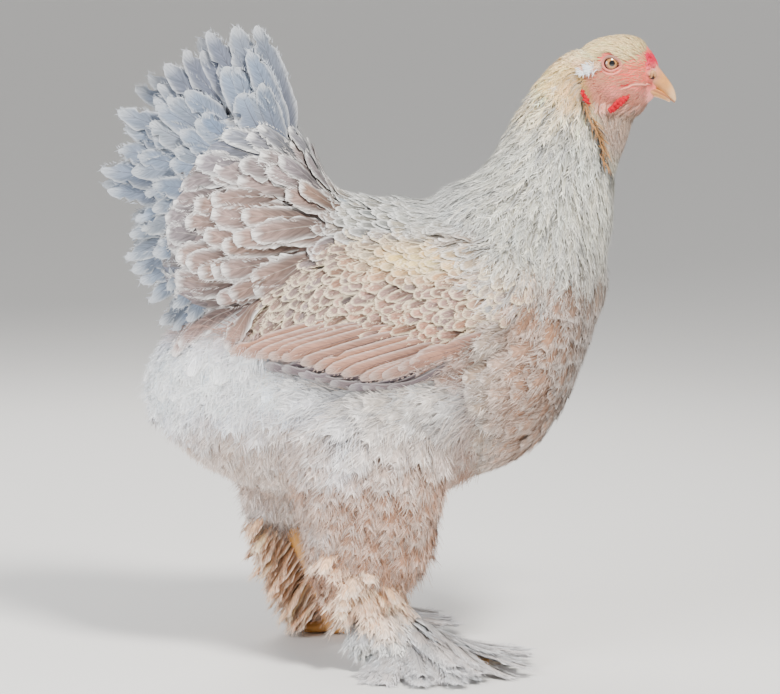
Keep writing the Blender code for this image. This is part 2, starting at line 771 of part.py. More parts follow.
def centre_on_floor():
    """Moves the whole bird so that the middle of its bounding box is the origin, at the floor."""
    for helper in [obj for obj in bpy.context.scene.objects if obj.hide_render]:
        bpy.data.objects.remove(helper)
    shapes = [obj for obj in bpy.context.scene.objects if obj.type == "MESH"]
    points = np.vstack([[v.co[:] for v in obj.data.vertices] for obj in shapes])
    low, high = points.min(axis=0), points.max(axis=0)
    middle = (low + high) / 2
    for obj in shapes:
        obj.data.transform(Matrix.Translation((-middle[0], -middle[1], -low[2])))


main()
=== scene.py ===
"""Looks of the brahma hen: one skin, her feathers and down, her face, beak, comb, legs and feet.

Places and sizes are millimetres in the bird's own frame, as in its solids: x = 0 and y = 0 lie between the
feet, she faces +x, her right side is at -y and the floor is z = 0. place() takes them to the row's metres.
"""

import math

import bpy
import numpy as np
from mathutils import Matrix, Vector


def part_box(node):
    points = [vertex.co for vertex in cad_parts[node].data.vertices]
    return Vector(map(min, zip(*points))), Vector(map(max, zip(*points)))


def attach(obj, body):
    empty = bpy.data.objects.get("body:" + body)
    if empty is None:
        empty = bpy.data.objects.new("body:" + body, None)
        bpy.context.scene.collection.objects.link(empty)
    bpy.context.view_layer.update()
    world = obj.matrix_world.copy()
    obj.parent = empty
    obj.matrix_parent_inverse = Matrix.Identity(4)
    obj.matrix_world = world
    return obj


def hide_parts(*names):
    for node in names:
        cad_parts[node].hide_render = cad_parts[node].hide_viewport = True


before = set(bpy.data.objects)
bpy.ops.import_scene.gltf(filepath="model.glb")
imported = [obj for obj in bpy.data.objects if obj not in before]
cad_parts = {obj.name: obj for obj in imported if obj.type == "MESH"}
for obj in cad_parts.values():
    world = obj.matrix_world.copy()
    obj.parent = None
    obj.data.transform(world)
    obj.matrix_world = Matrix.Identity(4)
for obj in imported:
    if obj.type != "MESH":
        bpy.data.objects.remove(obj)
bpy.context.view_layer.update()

MM = 0.001
RIGHT, LEFT = -1, 1
SIDES = ((RIGHT, "right"), (LEFT, "left"))
COAT, GREY = "coat", "grey_feathers"
EYE = np.array((172.8, 15.8, 471.7))  # centre of the left eyeball
EYE_CORNERS = np.array(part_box("eye_left"))
SHIFT = EYE_CORNERS.mean(axis=0) - EYE * MM

# Upright cross-sections of the trunk, breast first: x, top z, lowest z, half width.
TRUNK = (
    (171, 306, 298, 4),
    (166, 328, 280, 24),
    (156, 349, 256, 54),
    (140, 361, 210, 78),
    (122, 367, 177, 89),
    (98, 371, 155, 96),
    (64, 371, 142, 100),
    (24, 367, 133, 102),
    (-16, 370, 131, 101),
    (-50, 374, 132, 97),
    (-84, 361, 135, 89),
    (-116, 337, 144, 78),
    (-145, 302, 158, 64),
    (-168, 266, 178, 44),
    (-183, 240, 197, 22),
    (-189, 220, 212, 4),
)

# Rings of the neck from the head down: nape x, z, throat x, z, half width.
NECK = (
    (146, 482, 196, 440, 17),
    (134, 475, 192, 424, 20),
    (120, 462, 187, 408, 23),
    (105, 442, 180, 388, 29),
    (91, 418, 177.5, 365, 38),
    (78, 396, 177, 342, 50),
    (61, 381, 172, 318, 66),
    (38, 371, 163, 292, 78),
    (30, 352, 140, 284, 66),
    (48, 334, 112, 296, 30),
)

# Rings of the head from the nape to the beak: top x, z, low x, z, half width.
HEAD = (
    (148, 470, 160, 448, 8),
    (152, 482, 170, 434, 17),
    (160, 488.5, 181, 424, 21),
    (171, 492, 189, 428, 22.5),
    (184, 493.5, 197, 434, 22),
    (195, 491.5, 202, 439, 19.5),
    (203, 485.5, 205.5, 442, 15.5),
    (208.5, 477, 208, 444.5, 10.5),
    (211, 468, 210, 449, 6),
    (211, 462, 210.5, 455, 2.5),
)

# Rings of the tail's feathered base, saddle first: fore x, z, hind x, z, half width.
TAIL_BASE = (
    (-30, 352, -92, 262, 60),
    (-32, 371, -112, 254, 80),
    (-52, 391, -150, 262, 85),
    (-67, 417, -183, 294, 77),
    (-84, 436, -184, 346, 58),
    (-106, 442, -168, 388, 33),
    (-128, 434, -148, 412, 10),
)

# Rings of each feathered thigh, top first: hind x, z, fore x, z, half width, distance from the middle.
THIGHS = {
    RIGHT: (
        (-60, 244, 48, 244, 26, 46),
        (-76, 222, 58, 220, 38, 52),
        (-82, 190, 56, 186, 45, 58),
        (-79, 158, 47, 150, 44, 62),
        (-72, 130, 40, 122, 38, 63),
        (-68, 102, 36, 98, 33, 62),
        (-63, 76, 24, 77, 27, 61),
        (-55, 57, -6, 60, 18, 60),
        (-44, 47, -26, 49, 7, 60),
    ),
    LEFT: (
        (-102, 244, 6, 244, 26, 46),
        (-120, 222, 14, 220, 38, 52),
        (-127, 190, 12, 186, 43, 58),
        (-128, 160, -6, 154, 40, 60),
        (-126, 134, -30, 128, 33, 61),
        (-120, 112, -52, 108, 24, 61),
        (-108, 98, -72, 97, 10, 60),
    ),
}

# Edges of the folded wing over the trunk: x, upper z, lower z, thickness.
WING = (
    (112, 303, 293, 1.5),
    (104, 318, 280, 4.5),
    (84, 330, 262, 6.0),
    (44, 336, 243, 6.0),
    (4, 333, 233, 5.5),
    (-38, 322, 237, 5.0),
    (-76, 304, 246, 4.5),
    (-104, 282, 252, 3.5),
    (-120, 268, 257, 2.0),
)

FOOT_Y = 59
FOOT_X = {RIGHT: 12, LEFT: -46}
TAIL_HUB = np.array((-72.0, 0.0, 372.0))

# Colours, linear.
CREAM = np.array((0.90, 0.64, 0.23))
SAGE_WHITE = np.array((0.41, 0.40, 0.31))
SILVER = np.array((0.32, 0.325, 0.30))
BLUSH = np.array((0.39, 0.22, 0.17))
BUFF = np.array((0.46, 0.22, 0.13))
BEIGE = np.array((0.44, 0.245, 0.155))
LAVENDER = np.array((0.160, 0.20, 0.262))
# dark slate: the primaries' colour, and the tail's painted shade
SMOKE = np.array((0.10, 0.11, 0.15))
SNOW = np.array((0.91, 0.94, 1.0))
WHITE = np.array((0.86, 0.86, 0.84))
# golden brown darkened by painted shade, for the streak along the hackle's edge
SHADED_GOLD = np.array((0.34, 0.165, 0.055))
MAUVE = np.array((0.42, 0.28, 0.23))
PINK = np.array((0.88, 0.145, 0.095))
RED = np.array((0.50, 0.004, 0.018))
YELLOW = np.array((0.66, 0.33, 0.09))
HORN = np.array((0.64, 0.29, 0.09))
CLAW = np.array((0.62, 0.52, 0.42))
FLOOR = (0.80, 0.79, 0.77, 1)

# The photo's view: the camera's place, its tilt down in degrees, and its lens for a film 36 mm wide.
CAMERA_AT = (0, -1989.0, 455.6)
CAMERA_TILT = 6
LENS = 115.38


def place(points):
    return np.asarray(points, float) * MM + SHIFT


def ramp(value, start, end):
    """0 before start, 1 after end, and a smooth cubic between; start may be the larger."""
    t = np.clip((np.asarray(value, float) - start) / (end - start), 0, 1)
    return t * t * (3 - 2 * t)


def mix(first, second, share):
    share = np.asarray(share)[..., None]
    return np.asarray(first) * (1 - share) + np.asarray(second) * share


def layered(colour, *layers):
    """A colour with others laid over it in turn, each with its share."""
    for other, share in layers:
        colour = mix(colour, other, share)
    return colour


def blob(p, x, z, wide, high):
    """1 at a place seen from the side, and less round it as a bell."""
    return np.exp(-(((p[..., 0] - x) / wide) ** 2) - ((p[..., 2] - z) / high) ** 2)


def evenly(count):
    """Numbers from 0 to 1 at even steps."""
    return np.linspace(0, 1, count)


def circle(count):
    """Angles at even steps round a circle."""
    return np.arange(count) * 2 * math.pi / count


def outward(grid):
    """The direction of each point of a grid of rings from the middle of its ring."""
    return unit(grid - grid.mean(axis=1, keepdims=True))


def unit(vectors):
    return vectors / np.maximum(np.linalg.norm(vectors, axis=-1, keepdims=True), 1e-9)


def spline_weights(given, wanted):
    """Matrix that reads a Catmull-Rom curve through `given` even stations at `wanted` shares of its way."""
    where = np.clip(np.asarray(wanted, float), 0, 1) * (given - 1)
    at = np.minimum(where.astype(int), given - 2)
    t = where - at
    basis = 0.5 * np.stack([
        -t + 2 * t**2 - t**3, 2 - 5 * t**2 + 3 * t**3, t + 4 * t**2 - 3 * t**3, t**3 - t**2,
    ])
    weights = np.zeros((len(where), given + 2))
    for k in range(4):
        np.add.at(weights, (np.arange(len(where)), at + k), basis[k])
    weights[:, 1] += 2 * weights[:, 0]
    weights[:, 2] -= weights[:, 0]
    weights[:, -2] += 2 * weights[:, -1]
    weights[:, -3] -= weights[:, -1]
    return weights[:, 1:-1]


def loft(rows, rings, sides, fullness=2.1, side=RIGHT, inset=0.0):
    """Grid of rings set across the middle plane: a superellipse between an upper and a lower point.

    x and z run between the two points by sin(a)^(2/f), and y = away + half width * cos(a)^(2/f), where
    away is the row's sixth value. inset pulls the two points together and takes from the half width.
    """
    rows = np.array(rows, float)
    rows = spline_weights(len(rows), evenly(rings)) @ rows
    angle = circle(sides)
    wide, high = (np.sign(c) * np.abs(c) ** (2 / fullness) for c in (np.cos(angle), np.sin(angle)))
    centre, reach = (rows[:, 0:2] + rows[:, 2:4]) / 2, (rows[:, 0:2] - rows[:, 2:4]) / 2
    size = np.linalg.norm(reach, axis=1, keepdims=True)
    reach *= np.maximum(size - inset, 0.25 * size) / size
    half = np.maximum(rows[:, 4] - inset, 0.25 * rows[:, 4])
    away = rows[:, 5] * side if rows.shape[1] > 5 else np.zeros(rings)
    x = centre[:, 0, None] + reach[:, 0, None] * high
    z = centre[:, 1, None] + reach[:, 1, None] * high
    return np.stack([x, away[:, None] + half[:, None] * wide, z], axis=2)


def grid_faces(rows, columns, closed=True):
    """Quads of a grid whose columns close on themselves where closed."""
    i, j = np.meshgrid(np.arange(rows - 1), np.arange(columns if closed else columns - 1), indexing="ij")
    k = (j + 1) % columns
    near, far = i * columns, (i + 1) * columns
    quads = np.stack([near + j, near + k, far + k, far + j], axis=-1)
    return quads.reshape(-1, 4)


def end_fans(rows, columns):
    """Triangles from the first and last ring of a closed grid to a point for each, which follow the grid."""
    j = np.arange(columns)
    k = (j + 1) % columns
    count = rows * columns
    first = np.stack([np.full(columns, count), k, j], axis=1)
    last = np.stack([np.full(columns, count + 1), count - columns + j, count - columns + k], axis=1)
    return np.vstack([first, last])


def at_points(name, points):
    """An object at the origin with a mesh of points given in millimetres."""
    mesh = bpy.data.meshes.new(name)
    mesh.vertices.add(len(points))
    mesh.vertices.foreach_set("co", place(points).astype(np.float32).ravel())
    obj = bpy.data.objects.new(name, mesh)
    bpy.context.scene.collection.objects.link(obj)
    return obj


def places_of(mesh):
    """The points of a mesh, in millimetres."""
    flat = np.empty(len(mesh.vertices) * 3, np.float32)
    mesh.vertices.foreach_get("co", flat)
    return (flat.reshape(-1, 3).astype(float) - SHIFT) / MM


def even_tint(colour, count):
    """The colours of count points, one for all or one for each, each with a random share of a half."""
    return np.column_stack([np.broadcast_to(np.reshape(colour, (-1, 3)), (count, 3)), np.full(count, 0.5)])


def add_tint(mesh, tint):
    layer = mesh.color_attributes.new("Tint", "FLOAT_COLOR", "POINT")
    layer.data.foreach_set("color", np.asarray(tint, np.float32).ravel())


def new_piece(name, points, faces, look=None, tint=None, maps=None):
    """A mesh object from points in millimetres and a list of face arrays.

    tint is a colour and a random share for each point, and maps holds a UV pair for each point by map name.
    """
    obj = at_points(name, points)
    mesh = obj.data
    corners = np.concatenate([np.asarray(part).ravel() for part in faces]).astype(np.int32)
    sizes = np.concatenate([np.full(len(part), np.asarray(part).shape[1]) for part in faces])
    mesh.loops.add(len(corners))
    mesh.loops.foreach_set("vertex_index", corners)
    mesh.polygons.add(len(sizes))
    mesh.polygons.foreach_set("loop_start", np.concatenate([[0], np.cumsum(sizes)[:-1]]).astype(np.int32))
    mesh.update(calc_edges=True)
    if tint is not None:
        add_tint(mesh, tint)
    for label, pairs in (maps or {}).items():
        layer = mesh.uv_layers.new(name=label)
        layer.data.foreach_set("uv", np.asarray(pairs, np.float32)[corners].ravel())
    mesh.shade_smooth()
    if look:
        mesh.materials.append(look)
    return obj


def capped(grid, start=0):
    """A closed grid's points with one in the middle of each end, and its faces, numbered from start."""
    rows, columns = grid.shape[:2]
    points = np.vstack([grid.reshape(-1, 3), grid[0].mean(axis=0), grid[-1].mean(axis=0)])
    return points, [grid_faces(rows, columns) + start, end_fans(rows, columns) + start]


def body_of_grid(name, grid, look, colour, slot, *nodes):
    """A closed piece from a grid of rings, of one colour or one for each point, that stands for the nodes."""
    points, faces = capped(grid)
    tint = even_tint(colour, len(points) - 2)
    piece = new_piece(name, points, faces, look, np.vstack([tint, tint[:1], tint[-1:]]))
    return wear(piece, slot, *nodes)


def wear(piece, slot, *nodes):
    """The piece rides on the bird and stands for the nodes; slot is not used."""
    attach(piece, "root")
    if nodes:
        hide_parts(*nodes)
    return piece


def on_both_sides(*makers):
    for make in makers:
        for side, word in SIDES:
            make(side, word)


def applied(obj):
    """The object with its modifiers made part of its mesh."""
    graph = bpy.context.evaluated_depsgraph_get()
    mesh = bpy.data.meshes.new_from_object(obj.evaluated_get(graph))
    obj.modifiers.clear()
    obj.data = mesh
    mesh.shade_smooth()
    return obj


def grown_together(name, grids, cell, rounds, look=None):
    """One skin round several closed grids: a remesh on cubes of `cell`, then smoothed."""
    parts, faces, count = [], [], 0
    for grid in grids:
        points, sides = capped(grid, count)
        parts.append(points)
        faces += sides
        count += len(points)
    skin = new_piece(name, np.vstack(parts), faces, look)
    remesh = skin.modifiers.new("one skin", "REMESH")
    remesh.mode = "VOXEL"
    remesh.voxel_size = cell * MM
    soften = skin.modifiers.new("soften", "SMOOTH")
    soften.factor = 0.5
    soften.iterations = rounds
    return applied(skin)


def touch(points, skin):
    """The nearest points of a skin to the given ones, and its normals there."""
    found = []
    for lift in (0.0, 1.0):
        probe = at_points("probe", points)
        wrap = probe.modifiers.new("wrap", "SHRINKWRAP")
        wrap.target = skin
        wrap.wrap_method = "NEAREST_SURFACEPOINT"
        wrap.wrap_mode = "ABOVE_SURFACE"
        wrap.offset = lift * MM
        found.append(places_of(probe.evaluated_get(bpy.context.evaluated_depsgraph_get()).data))
        mesh = probe.data
        bpy.data.objects.remove(probe)
        bpy.data.meshes.remove(mesh)
    return found[0], unit(found[1] - found[0])


def scattered(skin, spacing, wanted, chance):
    """Evenly spread points of a skin where wanted(points, normals) is above a random draw.

    Points are drawn by area, then only the first in each cube of the spacing is kept.
    """
    mesh = skin.data
    mesh.calc_loop_triangles()
    corners = np.empty(len(mesh.loop_triangles) * 3, np.int32)
    mesh.loop_triangles.foreach_get("vertices", corners)
    a, b, c = places_of(mesh)[corners].reshape(-1, 3, 3).transpose(1, 0, 2)
    normal = np.cross(b - a, c - a)
    area = np.linalg.norm(normal, axis=1) / 2
    count = int(area.sum() / spacing**2 * 5)
    pick = np.searchsorted(np.cumsum(area) / area.sum(), chance.random(count))
    u, v = chance.random((2, count, 1))
    fold = u + v > 1
    u, v = np.where(fold, 1 - u, u), np.where(fold, 1 - v, v)
    points = a[pick] + u * (b - a)[pick] + v * (c - a)[pick]
    normals = unit(normal[pick])
    keep = wanted(points, normals) > chance.random(count)
    points, normals = points[keep], normals[keep]
    cell = np.floor(points / spacing + chance.random(3)).astype(int)
    first = np.unique(cell, axis=0, return_index=True)[1]
    first.sort()
    return points[first], normals[first]


def over_head_line(x, z):
    """Height over the line along the back of the head, where the head's coat meets the neck's."""
    return z - (475 - 0.879 * (x - 134))


def flow(points):
    """The lie of the coat: the direction that a feather rooted at each point runs in, before it is laid flat.

    The neck's feathers run away from a point over the head, the back's straight back, the cushion's and
    tail's away from the saddle, the legs' down, and the fluff's down and back, with ramps between them.
    """
    x, y, z = points.T
    side = np.clip(y / 40, -1, 1)
    neck = unit((points - (182, 0, 520)) * (1, 0.45, 1))
    back = unit(np.stack([-np.ones_like(x), 0.1 * side, -0.22 * ramp(z, 350, 300)], axis=1))
    cushion = unit(np.stack([x - 10, 30 * side, z - 345], axis=1))
    down = unit(np.stack([-0.22 + 0 * x, 0.12 * side, -np.ones_like(x)], axis=1))
    fluff = unit(np.stack([-0.62 + 0 * x, 0.25 * side, -0.75 + 0 * x], axis=1))
    edge = np.interp(z, (200, 250, 345, 375), (110, 95, 25, 10))
    lie = mix(back, neck, ramp(x, edge, edge + 55))
    lie = mix(lie, cushion, ramp(x, -22, -62) * ramp(z, 248, 285))
    lie = mix(lie, fluff, ramp(x, -50, -95) * ramp(z, 275, 245))
    lie = mix(lie, down, ramp(z, 225, 180) * ramp(x, 110, 60))
    head = unit((points - (216, 0, 468)) * (1, 0.5, 1))
    return unit(mix(lie, head, ramp(over_head_line(x, z), -14, 8)))


def laid(roots, skin, lengths, lifts, heading=None, hold=1.0, swirl=0.0, chance=None):
    """Paths of feathers that follow the skin from their roots, and the skin's normals along them.

    Each step goes a part of the length along the lie, made flat to the skin, and is then set on the skin
    and raised by its lift. hold is the share of the path that keeps to the skin; past it, it runs straight
    on. heading, if given, takes the place of the lie.
    """
    spots, normals = touch(roots, skin)
    steps = len(lifts)
    turn = chance.normal(0, swirl, len(roots)) if chance is not None else np.zeros(len(roots))
    path, up = [spots + normals * np.asarray(lifts[0])[..., None]], [normals]
    ahead = None
    for k in range(1, steps):
        free = k / (steps - 1) > hold
        if not free or ahead is None:
            way = flow(spots) if heading is None else heading
            way = way + np.cross(normals, way) * turn[:, None]
            ahead = unit(way - normals * np.sum(way * normals, axis=1, keepdims=True))
        spots = spots + ahead * (lengths / (steps - 1))[:, None]
        if not free:
            spots, normals = touch(spots, skin)
        path.append(spots + normals * np.asarray(lifts[k])[..., None])
        up.append(normals)
    return np.stack(path, axis=1), np.stack(up, axis=1)


def vane(start, widest, taper, bend, blunt):
    """Half width along a feather: it grows from start at the root until widest, and shrinks past taper.

    It is (start + (1 - start) * ramp(v)) * (1 - t^bend)^blunt, with t from 0 at taper to 1 at the end.
    """
    def half_width(v):
        t = np.clip((v - taper) / (1 - taper), 0, 1)
        return (start + (1 - start) * ramp(v, 0, widest)) * np.clip(1 - t**bend, 0, 1) ** blunt
    return half_width


round_tip = vane(0.35, 0.35, 0.6, 2.4, 0.5)  # body feathers, with a round end
lance_tip = vane(0.5, 0.25, 0.3, 1.7, 1)  # hackle, drawn to a point
leaf_tip = vane(0.4, 0.4, 0.5, 2.2, 0.7)  # wing coverts, with a blunt point
plume_tip = vane(0.4, 0.4, 0.5, 2.3, 0.62)  # tail feathers, with a round end drawn in a little
blade_tip = vane(0.45, 0.2, 0.8, 2.2, 0.5)  # flight feathers, even, with a round end


def strand_tip(v):
    """Half width along a strand of down: even, then drawn to a point."""
    return 1 - 0.85 * v


def bake_spots(roots):
    """Each root's place on an unwrap of the bird: the angle round her long axis, and the way along her.

    The axis runs up the neck, along the trunk and down the legs, and each has its own band of the map.
    """
    x, y, z = roots.T
    leg = ramp(z, 130, 128)
    neck = (1 - leg) * ramp(z - 0.8 * (120 - x), 371, 372) * (x > 20)
    round_trunk = np.arctan2(y, z - 250) / (2 * math.pi) + 0.5
    round_neck = np.arctan2(y, x - (182 - 0.7 * (490 - z))) / (2 * math.pi) + 0.5
    round_leg = np.arctan2(np.abs(y) - 60, x + 20) / (4 * math.pi) + 0.25 + 0.5 * (y > 0)
    along_trunk = 0.34 + 0.34 * np.clip((x + 240) / 440, 0, 1)
    along_neck = 0.70 + 0.28 * np.clip((z - 280) / 225, 0, 1)
    along_leg = 0.02 + 0.28 * np.clip(z / 130, 0, 1)
    part = [leg > 0.5, neck > 0.5]
    u = np.select(part, [round_leg, round_neck], round_trunk)
    v = np.select(part, [along_leg, along_neck], along_trunk)
    return np.stack([0.01 + 0.97 * u, v], axis=1)


BAKE_SPOT = 0.003  # side of each feather's patch in that map
LEAST_HEIGHT = 0.3  # of a feather over the floor


def barbs_of(path, up, widths, tip, colours, chance, count, length, breadth, inner):
    """Loose barbs of feathers: slim triangles from places on each vane, out and forwards past its edge.

    Returns their points, colours, places on the feather (u, v) and the feather that each belongs to.
    """
    which = np.repeat(np.arange(len(path)), count)
    v = chance.uniform(0.25 + 0.3 * inner, 1.0, len(which)) ** 0.8
    k = chance.choice((-1.0, 1.0), len(which)) * chance.uniform(inner, 1.0, len(which)) ** 0.6
    weights = spline_weights(path.shape[1], v)
    spine = np.einsum("mk,mkc->mc", weights, path[which])
    normal = unit(np.einsum("mk,mkc->mc", weights, up[which]))
    ahead, behind = (spline_weights(path.shape[1], np.clip(v + step, 0, 1)) for step in (0.06, -0.06))
    along = unit(np.einsum("mk,mkc->mc", ahead - behind, path[which]))
    across = unit(np.cross(normal, along))
    root = spine + across * (k * np.asarray(widths)[which] / 2 * tip(v))[:, None] + normal * 0.2
    lean = np.radians(chance.uniform(8, 42, len(which))) * np.sign(k)
    way = along * np.cos(lean)[:, None] + across * np.sin(lean)[:, None]
    way = unit(way + normal * chance.normal(0.03, 0.10, (len(which), 1)))
    reach = length * chance.uniform(0.5, 1.15, (len(which), 1))
    edge = np.cross(way, normal) * breadth / 2
    points = np.stack([root - edge, root + edge, root + way * reach], axis=1)
    row = np.clip((v * colours.shape[1]).astype(int), 0, colours.shape[1] - 1)
    tone = colours[which, row] * chance.normal(1.0, 0.09, (len(which), 1))
    own = np.stack([0.5 + 0.45 * k, v], axis=1)
    tone = np.clip(tone, 0.01, 0.95)
    return points, *(np.repeat(part, 3, axis=0) for part in (tone, own, which))


def feathers(name, path, up, widths, tip, colours, look, chance, rows=9, columns=5, cup=0.16, fray=0.12,
             rim=None, rim_share=0.0, tilt=0.0, splits=0.0, barbs=0, barb_length=6.0, barb_width=0.9,
             inner=0.1, slot=COAT):
    """Feathers as one mesh of thin sheets: each is its path carried across its width.

    A point is path(v) + across * k * half width * tip(v) - up * cup * half width * k^2, with k from -1 to 1
    and v from 0 at the root to 1 at the end. Its rows slant forwards to its edges, as barbs do. fray shifts
    the outer points by a random share of the width, and splits is the chance that a row is drawn in, which
    parts the vane there.
    The colours are those of each feather, one for all of it or one for each row, and rim is mixed in
    towards its edge. barbs is the count of loose barbs over each, from inner, a share of its half width, out.
    """
    count = len(path)
    v = 1 - (1 - evenly(rows)) ** 1.5
    weights = spline_weights(path.shape[1], v)
    spine = np.einsum("rk,nkc->nrc", weights, path)
    normal = unit(np.einsum("rk,nkc->nrc", weights, up))
    along = unit(np.gradient(spine, axis=1))
    across = unit(np.cross(normal, along))
    normal = np.cross(along, across)
    turn = np.radians(tilt) * np.ones(count)
    across, normal = (
        across * np.cos(turn)[:, None, None] + normal * np.sin(turn)[:, None, None],
        normal * np.cos(turn)[:, None, None] - across * np.sin(turn)[:, None, None],
    )
    k = np.linspace(-1, 1, columns)
    half = (np.asarray(widths)[:, None] / 2 * tip(v)[None, :])[:, :, None]
    ragged = chance.normal(0, fray, (count, rows, columns)) * np.abs(k) ** 3
    torn = chance.random((count, rows, 2)) < splits * ramp(v, 0.3, 0.55)[:, None]
    parted = torn[..., (k > 0).astype(int)]
    reach = k * half * (1 + ragged) * (1 - 0.45 * parted * k**2)
    sweep = chance.normal(0, 1, (count, rows, columns)) * fray * half * ramp(v, 0.3, 1)[None, :, None]
    sweep = sweep + 0.35 * half * np.abs(k)
    points = (
        spine[:, :, None]
        + across[:, :, None] * reach[..., None]
        - normal[:, :, None] * (cup * half * k**2 + 0.04)[..., None]
        + along[:, :, None] * sweep[..., None]
    )
    quads = grid_faces(rows, columns, closed=False)
    faces = (quads[None] + (np.arange(count) * rows * columns)[:, None, None]).reshape(-1, 4)
    colours = np.asarray(colours, float)
    tint = np.broadcast_to(colours[:, :, None, :], (count, rows, columns, 3))
    if rim is not None:
        edge = np.maximum(np.abs(k)[None, :] ** 6 * np.ones((rows, 1)), ramp(v, 0.86, 1)[:, None])
        tint = mix(tint, np.asarray(rim), np.broadcast_to(rim_share * edge, tint.shape[:-1]))
    draw = np.broadcast_to(chance.random(count)[:, None, None, None], (count, rows, columns, 1))
    own = np.stack(np.broadcast_arrays((k * 0.5 + 0.5)[None, None, :], v[None, :, None]), axis=-1)
    own = np.broadcast_to(own, (count, rows, columns, 2)).reshape(-1, 2)
    points, faces = points.reshape(-1, 3), [faces]
    tint = np.concatenate([tint, draw], axis=-1).reshape(-1, 4)
    owner = np.repeat(np.arange(count), rows * columns)
    if barbs:
        if rim is not None:
            share = 0.8 * rim_share * ramp(evenly(rows), 0.3, 1)
            colours = mix(np.broadcast_to(colours, (count, rows, 3)), np.asarray(rim), share)
        loose, tone, place_on, of = barbs_of(
            path, up, widths, tip, colours, chance, barbs, barb_length, barb_width, inner,
        )
        faces.append(np.arange(len(tone)).reshape(-1, 3) + len(points))
        points = np.vstack([points, loose.reshape(-1, 3)])
        tint = np.vstack([tint, np.column_stack([tone, np.repeat(chance.random(len(tone) // 3), 3)])])
        own, owner = np.vstack([own, place_on]), np.concatenate([owner, of])
    spots = bake_spots(path[:, 0])[owner]
    points[:, 2] = np.maximum(points[:, 2], LEAST_HEIGHT)
    maps = {"Feather": own, "OFBake": spots + (own - 0.5) * BAKE_SPOT}
    return wear(new_piece(name, points, faces, look, tint, maps), slot)


def paler(colour, share):
    return mix(colour, WHITE, share)


def varied(colours, chance, spread=0.07, warmth=0.02):
    """Each feather a little lighter or darker, warmer or cooler than its colour."""
    light = 1 + chance.normal(0, spread, (len(colours), 1))
    warm = 1 + 2 * chance.normal(0, warmth, (len(colours), 1)) * np.array((1, 0.1, -1))
    return np.clip(colours * light * warm, 0.02, 0.95)


def coat_colour(points):
    """The hen's colour at a place: cream head, sage-white hackle, silver back, blush wing, beige breast,
    lavender tail and snow-white fluff, with ramps between them, and painted shade on the breast's front, on
    the throat and in the golden streak down the neck."""
    x, z = points[:, 0], points[:, 2]
    stray = wander(points)
    throat = ramp(before_streak(points), -2, 4)
    streak = np.abs((x - 149) * 0.905 + (z - 447) * 0.425) / 3.5
    # beige trunk, paler towards the back and darker towards the breast's front, which is painted shade where
    # the breast turns away under the neck
    trunk = layered(BEIGE, (paler(BEIGE, 0.4), ramp(x, 105, 65)), (BEIGE * 0.38 + 0.015, ramp(x, 106, 150)))
    back = layered(
        BLUSH,
        (SILVER, ramp(z + 0.4 * stray, 322, 346)),
        (CREAM * (1, 1.04, 1.1), 0.75 * blob(points, 22, 322, 38, 12)),
        (BUFF, 0.55 * ramp(z - wing_foot(x), 30, 8) * ramp(x, 70, 20)),
    )
    belly = mix(BEIGE * 1.12, paler(BLUSH, 0.76), ramp(z, 130, 205))
    hind = np.clip(ramp(x, -130, -195) + ramp(z, 365, 425), 0, 1)
    cushion = mix(BLUSH * (0.78, 0.92, 1.02), LAVENDER * (1.25, 1.1, 1.0), hind)
    fluff = mix(paler(BEIGE, 0.35), SNOW, ramp(z + stray, 166, 212))
    return layered(
        CREAM,
        (SAGE_WHITE, ramp(z, 458, 405)),
        ((0.98, 0.70, 0.34), ramp(z, 466, 476)),
        ((0.70, 0.34, 0.12), 0.65 * blob(points, 144, 452, 13, 17)),
        # throat: its own mauve-grey, darkened further by painted shade under the head
        ((0.30, 0.145, 0.095), 0.8 * throat * ramp(z, 385, 410) * ramp(z, 462, 450)),
        ((0.92, 0.35, 0.24), 0.85 * throat * ramp(z, 476, 466) * ramp(z, 428, 440)),
        # the streak's golden brown, with painted shade along the hackle's edge
        (SHADED_GOLD, 0.35 * ramp(streak, 1.6, 0.3) * ramp(z, 385, 400) * ramp(z, 458, 448)),
        (trunk, ramp(z + 0.7 * stray, 336, 288) * ramp(x, 60, 90)),
        (back, ramp(x, 90, 50) * ramp(z, 400, 375)),
        (belly, ramp(z, 240, 222) * ramp(x, 75, 40)),
        (cushion, ramp(x, -28, -60) * ramp(z, 250, 280)),
        (SNOW, 0.8 * blob(points, -34, 176, 12, 16)),
        (fluff, ramp(x + 1.6 * stray, -40, -92) * ramp(z, 268, 246)),
    )


def feed(tree, socket, value):
    """Set a socket to a number or a colour, or link another node's output to it."""
    if hasattr(value, "links"):
        tree.links.new(value, socket)
    elif isinstance(value, tuple) and len(value) == 3:
        socket.default_value = (*value, 1)
    else:
        socket.default_value = value


def add(tree, kind, **inputs):
    """A node of a material, with its settings and inputs by name, each input a value or another's output."""
    node = tree.nodes.new("ShaderNode" + kind)
    for label, value in inputs.items():
        if hasattr(node, label):
            setattr(node, label, value)
        else:
            feed(tree, node.inputs[label.replace("_", " ")], value)
    return node


def sums(tree, operation, first, second=None):
    """A Math node of one or two values, each a number or another node's output."""
    node = add(tree, "Math", operation=operation)
    feed(tree, node.inputs[0], first)
    if second is not None:
        feed(tree, node.inputs[1], second)
    return node.outputs[0]


def own_tint(tree):
    return add(tree, "Attribute", attribute_name="Tint")


def shaded_tint(tree, shade):
    """The tint of each point times a shade."""
    tint = own_tint(tree).outputs["Color"]
    return add(tree, "VectorMath", operation="SCALE", Vector=tint, Scale=shade).outputs[0]


def blended(tree, share, first, second):
    """A colour between two, each a colour or an output, by a share."""
    node = add(tree, "Mix", data_type="RGBA")
    for socket, value in ((node.inputs[0], share), (node.inputs[6], first), (node.inputs[7], second)):
        feed(tree, socket, value)
    return node.outputs[2]


